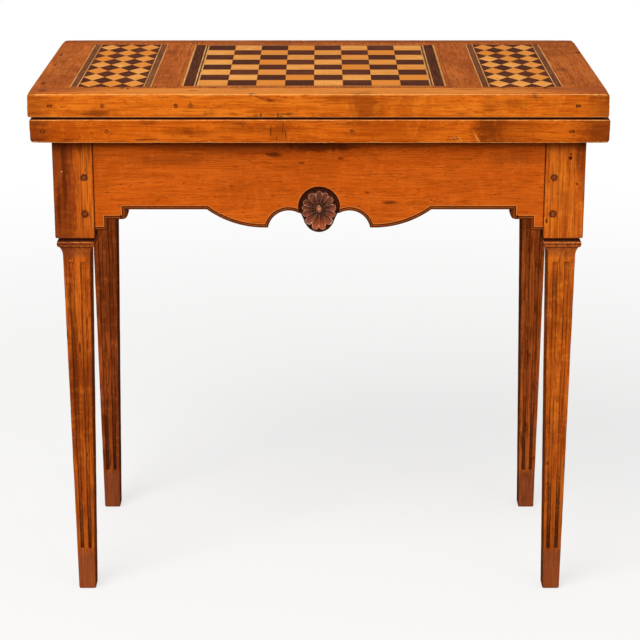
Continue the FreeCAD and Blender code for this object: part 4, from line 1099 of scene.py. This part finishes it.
for k, (leaf, body) in enumerate((("upper", "upper_leaf"), ("lower", "frame"))):
    board_low, board_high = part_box(leaf + "_middle_board")
    joints = [(1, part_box(leaf + "_front_rail")[1].y, rail_seam),
              (1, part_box(leaf + "_back_rail")[0].y, rail_seam)]
    leaf_marks = top_marks if leaf == "upper" else []
    front_cherry = old_wood(
        "cherry waxed and rubbed " + leaf + " front", along_x, *leaf_tints[leaf], seams_and_shade_bands=joints,
        spots=edge_marks[leaf] + leaf_marks, rubbed_and_highlight="#E8A75E", sheen=0.008, start=11.3 + k)
    back_cherry = old_wood("cherry waxed " + leaf + " back", along_x, "#A9541C", "#BC6626", "#803A10",
                           sheen=0.004, seams_and_shade_bands=joints, start=13.7 + k)
    for end, cherry, seed, outward in (("front", front_cherry, 2.3, -1), ("back", back_cherry, 4.1, 1)):
        node = leaf + "_" + end + "_rail"
        rail = worn_rail(node + "_worn", node, cherry, seed + 5 * k, outward, leaf == "upper")
        stand_in(rail, body, "leaf_cherry", node)
    joints += [(0, board_low.x, board_seam), (0, board_high.x, board_seam)]
    board_cherry = old_wood("cherry waxed " + leaf + " boards", along_y, "#BC5E20", "#CC6E2A", "#8E4212",
                            sheen=0.004, spots=leaf_marks, seams_and_shade_bands=joints, start=15.2 + k)
    refinish(board_cherry, *[leaf + "_" + side + "_board" for side in ("left", "middle", "right")])

# Pins and keys
# Hardwood pins and flat keys driven into the front edges to hold the rails, cut off flush. Each one
# shows as dark end grain in a dark outline.
pin_radius = 3.2 * mm
pin_length = 62 * mm
pin_outline = 0.45
pin_seed = 8
key_half = (3.5 * mm, 2.0 * mm)
key_levels = ((0.6, 0.0), (0.9, -0.02 * mm), (1, -0.15 * mm), (1, -pin_length))
key_outline = (
    (-1, -0.75), (-0.88, -1), (0.88, -1), (1, -0.75), (1, 0.75), (0.88, 1), (-0.88, 1), (-1, 0.75))
half_leaf = (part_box("upper_front_rail")[1].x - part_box("upper_front_rail")[0].x) / 2
pin_shares = {"upper": (-0.741, -0.489, -0.438), "lower": (-0.734, 0.110)}
key_shares = {"upper": (-0.922, 0.892), "lower": (-0.956, 0.868)}
# Hardwood end grain, a shade darker than the rail round it
pin_wood = old_wood("hardwood pins waxed end grain", along_y, "#9A4614", "#AC561C", "#6A2C0C", start=17.0)
pin = whittled_peg("pin_blank", pin_length, pin_radius, 0, pin_outline, pin_wood)
points = [(x * share * key_half[0], y * share * key_half[1], z)
          for share, z in key_levels for x, y in key_outline]
soils = [1.1 if z < 0 else 0.3 for _, z in key_levels for _ in key_outline]
key = make_piece("key_blank", points, loft(len(key_outline), len(key_levels)), pin_wood, soil=soils)
for leaf, body in (("upper", "upper_leaf"), ("lower", "frame")):
    low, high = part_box(leaf + "_front_rail")
    middle, z = (low.x + high.x) / 2, (low.z + high.z) / 2
    for kind, head, shares, spin in (("pins", pin, pin_shares, any_turn), ("keys", key, key_shares, 0.0)):
        seats = [((middle + share * half_leaf, low.y, z), (0, -1, 0)) for share in shares[leaf]]
        driven = drive(leaf + "_edge_" + kind, head, seats, spin, pin_seed, pin_wood)
        stand_in(driven, body, "peg_wood", leaf + "_edge_pins")
bpy.data.objects.remove(pin)
bpy.data.objects.remove(key)

# Chessboard and lozenge panels
# Sawn veneers of pale and dark fruitwood let into the upper leaf: squares and lozenges cut one by one,
# so each differs a little, with dark bands and pale and dark strings between them.
inlay_top = cad_high.z
inlay_thickness = 1.2 * mm
inlay_joint = 0.25 * mm
inlay_ease = 0.15 * mm
inlay_weld = 0.005 * mm
chess_low, chess_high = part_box("chess_light_squares")
squares = 8
chess_seed = 31
lozenge_columns, lozenge_rows = 3, 7
lozenge_seed = 41


def inlay_tree():
    """A field of tiles: every second one or all, with a tone of its own, cut off at the field's edge."""
    tree, given = node_tree("inlay field", {
        "Tile": "Object", "Columns": "Int", "Rows": "Int", "Every": "Int", "Shade": "Int", "Span X": "Float",
        "Span Y": "Float", "Lowest": "Vector", "Highest": "Vector", "Middle": "Vector", "Seed": "Int",
        "Finish": "Material"})
    grid = add(tree, "GeometryNodeMeshGrid", {
        "Size X": given["Span X"], "Size Y": given["Span Y"], "Vertices X": given["Columns"],
        "Vertices Y": given["Rows"]})
    placed = add(tree, "GeometryNodeTransform", {"Geometry": grid, "Translation": given["Middle"]})
    index = add(tree, "GeometryNodeInputIndex")
    column = add(tree, "ShaderNodeMath", {0: index, 1: given["Rows"]}, operation="DIVIDE")
    column = add(tree, "ShaderNodeMath", {0: column}, operation="FLOOR")
    row = add(tree, "ShaderNodeMath", {0: index, 1: given["Rows"]}, operation="MODULO")
    both = add(tree, "ShaderNodeMath", {0: column, 1: row}, operation="ADD")
    rest = add(tree, "ShaderNodeMath", {0: both, 1: given["Every"]}, operation="MODULO")
    chosen = add(tree, "ShaderNodeMath", {0: rest, 1: given["Shade"], 2: 0.1}, operation="COMPARE")
    tile = add(tree, "GeometryNodeObjectInfo", {"Object": given["Tile"]}).outputs["Geometry"]
    tiles = add(tree, "GeometryNodeInstanceOnPoints", {
        "Points": placed, "Instance": tile, "Selection": chosen})
    tone = add(tree, "FunctionNodeRandomValue", {"Seed": given["Seed"]}, data_type="FLOAT")
    toned = add(tree, "GeometryNodeStoreNamedAttribute", {"Geometry": tiles, "Name": "tone", "Value": tone},
                data_type="FLOAT", domain="INSTANCE")
    whole = add(tree, "GeometryNodeRealizeInstances", {0: toned})
    at = add(tree, "GeometryNodeInputPosition")
    at = add(tree, "ShaderNodeVectorMath", {0: at, 1: given["Lowest"]}, operation="MAXIMUM")
    at = add(tree, "ShaderNodeVectorMath", {0: at, 1: given["Highest"]}, operation="MINIMUM")
    cut = add(tree, "GeometryNodeSetPosition", {"Geometry": whole, "Position": at})
    clean = add(tree, "GeometryNodeMergeByDistance", {"Geometry": cut, "Distance": inlay_weld})
    done = add(tree, "GeometryNodeSetMaterial", {"Geometry": clean, "Material": given["Finish"]})
    add(tree, "NodeGroupOutput", {0: done})
    return tree


inlay_field = inlay_tree()


def tile_blank(name, corners, material):
    """A tile of veneer about its middle, its top at the origin, a hair smaller there than below."""
    reach = min(math.hypot(*corner) for corner in corners)
    shrinks = [1 - (inlay_joint * share) / reach for share in (0.5, 0.2, 0.2)]
    heights = (0, -inlay_ease, -inlay_thickness)
    points = [(x * s, y * s, z) for s, z in zip(shrinks, heights) for x, y in corners]
    soils = [0.75 if z < 0 else 0 for z in heights for _ in corners]
    return make_piece(name, points, loft(len(corners), len(heights)), material, soil=soils)


def lay_field(name, node, slot, low, high, inputs):
    """One set of tiles between two corners, laid with their tops flush with the leaf."""
    laid = baked(name, inlay_field, {
        "Lowest": (low.x, low.y, 0), "Highest": (high.x, high.y, 1),
        "Middle": ((low.x + high.x) / 2, (low.y + high.y) / 2, inlay_top), **inputs})
    stand_in(laid, "upper_leaf", slot, node)


# Waxed veneers: honey yellow against deep brown, each tile a tone of its own
pale_veneer = old_wood("pale fruitwood veneer waxed", along_x, "#F2A048", "#F8B466", "#DE8C3A",
                       tone="#E08630", sheen=0.004, start=19.0)
dark_veneer = old_wood("dark stained veneer waxed", along_x, "#5E2A12", "#6E361C", "#3E1A0A",
                       tone="#4A200C", sheen=0.004, start=20.0)
shades = (("light", "pale_inlay", pale_veneer), ("dark", "dark_inlay", dark_veneer))
size = round((chess_high.x - chess_low.x) / squares / mm) * mm
half = size / 2
corners = [(-half, -half), (half, -half), (half, half), (-half, half)]
square = tile_blank("square_blank", corners, pale_veneer)
for shade, (word, slot, veneer) in enumerate(shades):
    lay_field("chess_" + word + "_laid", "chess_" + word + "_squares", slot, chess_low, chess_high, {
        "Tile": square, "Columns": squares, "Rows": squares, "Span X": size * (squares - 1),
        "Span Y": size * (squares - 1), "Every": 2, "Shade": shade, "Seed": chess_seed + shade,
        "Finish": veneer})
bpy.data.objects.remove(square)
for k, side in enumerate(("left", "right")):
    low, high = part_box(side + "_light_lozenges")
    wide, long = (high.x - low.x) / lozenge_columns, (high.y - low.y) / lozenge_rows
    corners = [(-wide / 2, 0), (0, -long / 2), (wide / 2, 0), (0, long / 2)]
    lozenge = tile_blank("lozenge_blank", corners, pale_veneer)
    for more, (word, slot, veneer) in enumerate(shades):
        columns, rows = lozenge_columns + more, lozenge_rows + more
        lay_field(side + "_" + word + "_laid", side + "_" + word + "_lozenges", slot, low, high, {
            "Tile": lozenge, "Columns": columns, "Rows": rows, "Span X": wide * (columns - 1),
            "Span Y": long * (rows - 1), "Every": 1, "Shade": 0, "Seed": lozenge_seed + 2 * k + more,
            "Finish": veneer})
    bpy.data.objects.remove(lozenge)
# Fine strings of boxwood, stained wood and walnut, which draw thin pale, dark and brown lines
pale_string = old_wood("pale boxwood string waxed", along_y, "#E0A05A", "#EAB26E", "#BE8042", sheen=0.004,
                       start=22.0)
dark_string = old_wood("dark stained string waxed", along_y, "#52260F", "#623018", "#381606", sheen=0.004,
                       start=23.0)
brown_string = old_wood("walnut string waxed", along_y, "#7C4526", "#8C5330", "#5C3018", sheen=0.004,
                        start=24.0)
refinish(pale_string, "chess_pale_lines", "panel_pale_lines")
refinish(dark_string, "chess_dark_lines", "chess_dark_bands")
refinish(brown_string, "panel_brown_strips")

# Baize
# Green wool cloth glued into a shallow recess in each inner face. It is fulled and napped, so the
# weave is hidden under short fibres that lie in soft, uneven patches.
baize_step = 12 * mm
baize_swell = 0.12 * mm
baize_edge = (2 * mm, 0.5 * mm)
nap_spacing = 40 * mm
nap_relief = 0.5 * mm
# Fibre tufts are drawn coarser than real nap so that they show
tuft_size = 2 * mm
patch_size = 90 * mm


def wool_baize():
    """Green baize: matt, with a felted grain and faint rubbed patches, so that it looks soft."""
    material, tree, place = blank_material("wool baize fulled and napped")
    tuft = add(tree, "ShaderNodeTexNoise", {"Vector": place, "Scale": 1 / tuft_size, "Detail": 4})
    patch = add(tree, "ShaderNodeTexNoise", {"Vector": place, "Scale": 1 / patch_size, "Detail": 3})
    colour = coated(tree, "#1E4A2C", (
        (patch, 0.4, 0.7, 0.6, "#35633C"), (tuft, 0.45, 0.75, 0.5, "#12331D")), "LINEAR")
    bump = add(tree, "ShaderNodeBump", {"Height": tuft, "Strength": 0.5, "Distance": nap_relief})
    rough = add(tree, "ShaderNodeMapRange", {"Value": tuft, "To Min": 0.85, "To Max": 1.0})
    shader = add(tree, "ShaderNodeBsdfPrincipled", {
        "Base Color": colour, "Roughness": rough, "Sheen Weight": 0.12, "Sheen Roughness": 0.5,
        "Normal": bump})
    add(tree, "ShaderNodeOutputMaterial", {"Surface": shader})
    return material


baize_green = wool_baize()
for leaf, body, facing in (("upper", "upper_leaf", -1), ("lower", "frame", 1)):
    low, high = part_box(leaf + "_baize")
    across = spaced(high.x - low.x, (True, True), baize_step)
    along = spaced(high.y - low.y, (True, True), baize_step)
    seat, face = (low.z, high.z) if facing > 0 else (high.z, low.z)
    points = []
    for level in (0, 1):
        for x in across:
            for y in along:
                edge = min(x, y, high.x - low.x - x, high.y - low.y - y)
                fall = max(0, 1 - edge / baize_edge[0]) ** 2 * baize_edge[1]
                nap = baize_swell * (1 + noise.noise((x / nap_spacing, y / nap_spacing, facing)))
                points.append((low.x + x, low.y + y, face - facing * (fall + nap) if level else seat))
    size = len(across) * len(along)
    quads, rim = grid_faces(len(across), len(along))
    faces = [tuple(layer + k for k in quad) for quad in quads for layer in (0, size)]
    faces += [(rim[k - 1], rim[k], size + rim[k], size + rim[k - 1]) for k in range(len(rim))]
    cloth = make_piece(leaf + "_baize_cloth", points, faces, baize_green)
    stand_in(cloth, body, "green_baize", leaf + "_baize")

# Hinges, pins and screws
# Cast brass butt hinges let into the rear edges, gone brown in the corners, and iron screws and gate
# pins, blackened by age. The screws have slotted heads, each left at its own turn.
patina_size = 6 * mm
grit_size = 1 * mm
grit_relief = 0.2 * mm
hinge_screw_spacing = 36 * mm
hinge_screw_radius = 3 * mm
hinge_screw_length = 18 * mm
block_screw_radius = 4.4 * mm
block_screw_length = 38 * mm
slot_share = 0.13
hinge_screw_seed = 11
block_screw_seed = 14
# Points round each half of a head, beside its slot
half_head_points = 9
# A slot looks the same after half a turn, in radians
half_turn = 3.1


def old_metal(name, base, bright, dark, metallic, rough):
    """Metal with a patina: mottled tone, brighter where rubbed, fine scratches in the gloss."""
    material, tree, place = blank_material(name)
    patina = add(tree, "ShaderNodeTexNoise", {"Vector": place, "Scale": 1 / patina_size, "Detail": 5})
    grit = add(tree, "ShaderNodeTexNoise", {"Vector": place, "Scale": 1 / grit_size, "Detail": 3})
    colour = coated(tree, base, ((patina, 0.45, 0.7, 0.8, dark), (grit, 0.55, 0.75, 0.5, bright)), "LINEAR")
    gloss = add(tree, "ShaderNodeMapRange", {"Value": patina, "To Min": rough - 0.12, "To Max": rough + 0.2})
    bump = add(tree, "ShaderNodeBump", {"Height": grit, "Strength": 0.2, "Distance": grit_relief})
    shader = add(tree, "ShaderNodeBsdfPrincipled", {
        "Base Color": colour, "Metallic": metallic, "Roughness": gloss, "Normal": bump})
    add(tree, "ShaderNodeOutputMaterial", {"Surface": shader})
    return material


# Aged brass is a dull brownish gold, and blackened iron nearly black with a weak grey shine
aged_brass = old_metal("brass cast and aged", "#9A7434", "#C9A35A", "#5A3F1C", 1.0, 0.42)
dull_iron = old_metal("iron forged and blackened", "#3A3530", "#5E574E", "#221C18", 0.85, 0.6)
refinish(aged_brass, "lower_hinge_plates", "upper_hinge_plates", "leaf_hinge_pins")
refinish(dull_iron, "gate_pin_left", "gate_pin_right", "leaf_screws")


def slotted_screw(name, radius, length, material):
    """A countersunk screw that points along +Z with its slotted head at the origin."""
    arm = half_head_points
    edge = math.asin(slot_share)
    turns = [start + edge + (math.pi - 2 * edge) * k / (arm - 1)
             for start in (0, math.pi) for k in range(arm)]
    levels = ((1, 0), (0.9, -0.3 * radius), (0.5, -0.95 * radius), (0.45, -length))
    points = [(share * radius * math.cos(t), share * radius * math.sin(t), z)
              for share, z in levels for t in turns]
    ring = 2 * arm
    faces = [tuple(range(arm)), tuple(range(arm, ring))]
    for first in (0, arm):
        last = first + arm - 1
        faces.append((first, last, ring + last, ring + first))
        faces += [(k, k + 1, ring + k + 1, ring + k) for k in range(first, last)]
    faces.append((ring, ring + arm - 1, ring + arm, 2 * ring - 1))
    shank = [face for face in loft(ring, len(levels) - 1) if face != tuple(range(ring))]
    faces += [tuple(ring + k for k in face) for face in shank]
    return make_piece(name, points, faces, material)


hinge_screw = slotted_screw("hinge_screw_blank", hinge_screw_radius, hinge_screw_length, dull_iron)
for k, (leaf, body) in enumerate((("upper", "upper_leaf"), ("lower", "frame"))):
    low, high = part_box(leaf + "_hinge_screws")
    seats = [((x + side * hinge_screw_spacing / 2, high.y, (low.z + high.z) / 2), (0, 1, 0))
             for x in hinge_places for side in (-1, 1)]
    driven = drive(leaf + "_hinge_screws_driven", hinge_screw, seats, half_turn, hinge_screw_seed + k,
                   dull_iron)
    stand_in(driven, body, "iron", leaf + "_hinge_screws")
bpy.data.objects.remove(hinge_screw)
block_screw = slotted_screw("block_screw_blank", block_screw_radius, block_screw_length, dull_iron)
low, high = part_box("hinge_block_screws")
seats = [((x, high.y, z), (0, 1, 0)) for x in (low.x + block_screw_radius, high.x - block_screw_radius)
         for z in (low.z + block_screw_radius, high.z - block_screw_radius)]
driven = drive("hinge_block_screws_driven", block_screw, seats, half_turn, block_screw_seed, dull_iron)
stand_in(driven, "frame", "iron", "hinge_block_screws")
bpy.data.objects.remove(block_screw)

# Studio
# A pale floor that runs into a white surround, one broad soft lamp from the front left, a weaker one
# from the right and an even glow from all round. The camera stands in front, looking down a little.
floor_reach = 14.0
shade_reach = (0.7, 2.6)
white = "#FFFFFF"
surround_light = 0.4
camera_place = (0.0013, -2.9713, 1.2915)
camera_pitch = 17.38
camera_lens = 116.02
lamp_target = Vector((0, 0, 0.5))


def seen(tree):
    """A node that gives 1 for rays seen by the camera, in a shine or through glass, and 0 for others."""
    rays = add(tree, "ShaderNodeLightPath").outputs
    straight = add(tree, "ShaderNodeMath", {0: rays["Is Camera Ray"], 1: rays["Is Glossy Ray"]},
                   operation="MAXIMUM")
    return add(tree, "ShaderNodeMath", {0: straight, 1: rays["Is Transmission Ray"]}, operation="MAXIMUM")


def pale_floor():
    """Matt pale paper that takes the table's shadow and fades to the white of the surround."""
    material, tree, place = blank_material("pale paper")
    away = add(tree, "ShaderNodeVectorMath", {0: place}, operation="LENGTH")
    fade = add(tree, "ShaderNodeMapRange", {
        "Value": away, "From Min": shade_reach[0], "From Max": shade_reach[1]},
        interpolation_type="SMOOTHSTEP")
    fade = add(tree, "ShaderNodeMapRange", {"Value": fade, "To Min": 0.7})
    share = add(tree, "ShaderNodeMath", {0: seen(tree), 1: fade}, operation="MULTIPLY")
    paper = add(tree, "ShaderNodeBsdfDiffuse", {"Color": linear("#F4F2EF")})
    glow = add(tree, "ShaderNodeEmission", {"Color": linear(white), "Strength": 1.0})
    mixed = add(tree, "ShaderNodeMixShader", {0: share, 1: paper, 2: glow})
    add(tree, "ShaderNodeOutputMaterial", {"Surface": mixed})
    return material


floor_mesh = bpy.data.meshes.new("floor")
corners = [(-1, -1), (1, -1), (1, 1), (-1, 1)]
floor_mesh.from_pydata([(x * floor_reach, y * floor_reach, 0) for x, y in corners], [], [(0, 1, 2, 3)])
floor_mesh.materials.append(pale_floor())
floor = put_in_scene("floor", floor_mesh)
floor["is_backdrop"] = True

world = bpy.data.worlds.new("white surround")
world.use_nodes = True
tree = world.node_tree
tree.nodes.clear()
level = add(tree, "ShaderNodeMapRange", {"Value": seen(tree), "To Min": surround_light, "To Max": 1.0})
glow = add(tree, "ShaderNodeBackground", {"Color": linear(white), "Strength": level})
add(tree, "ShaderNodeOutputWorld", {"Surface": glow})
bpy.context.scene.world = world

for name, place, size, power in (("key", (-1.3, -2.2, 3.3), 2.2, 104), ("fill", (2.2, -2.9, 1.5), 2.4, 28)):
    lamp = bpy.data.lights.new(name, "AREA")
    lamp.size = size
    lamp.energy = power
    holder = put_in_scene(name, lamp)
    holder.location = place
    holder.rotation_euler = (lamp_target - Vector(place)).to_track_quat("-Z", "Y").to_euler()

camera = bpy.data.cameras.new("camera")
camera.sensor_width = 36
camera.lens = camera_lens
holder = put_in_scene("camera", camera)
holder.location = camera_place
holder.rotation_euler = (math.radians(90 - camera_pitch), 0, 0)
bpy.context.scene.camera = holder
bpy.context.scene.view_settings.view_transform = "Standard"

low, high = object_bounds()
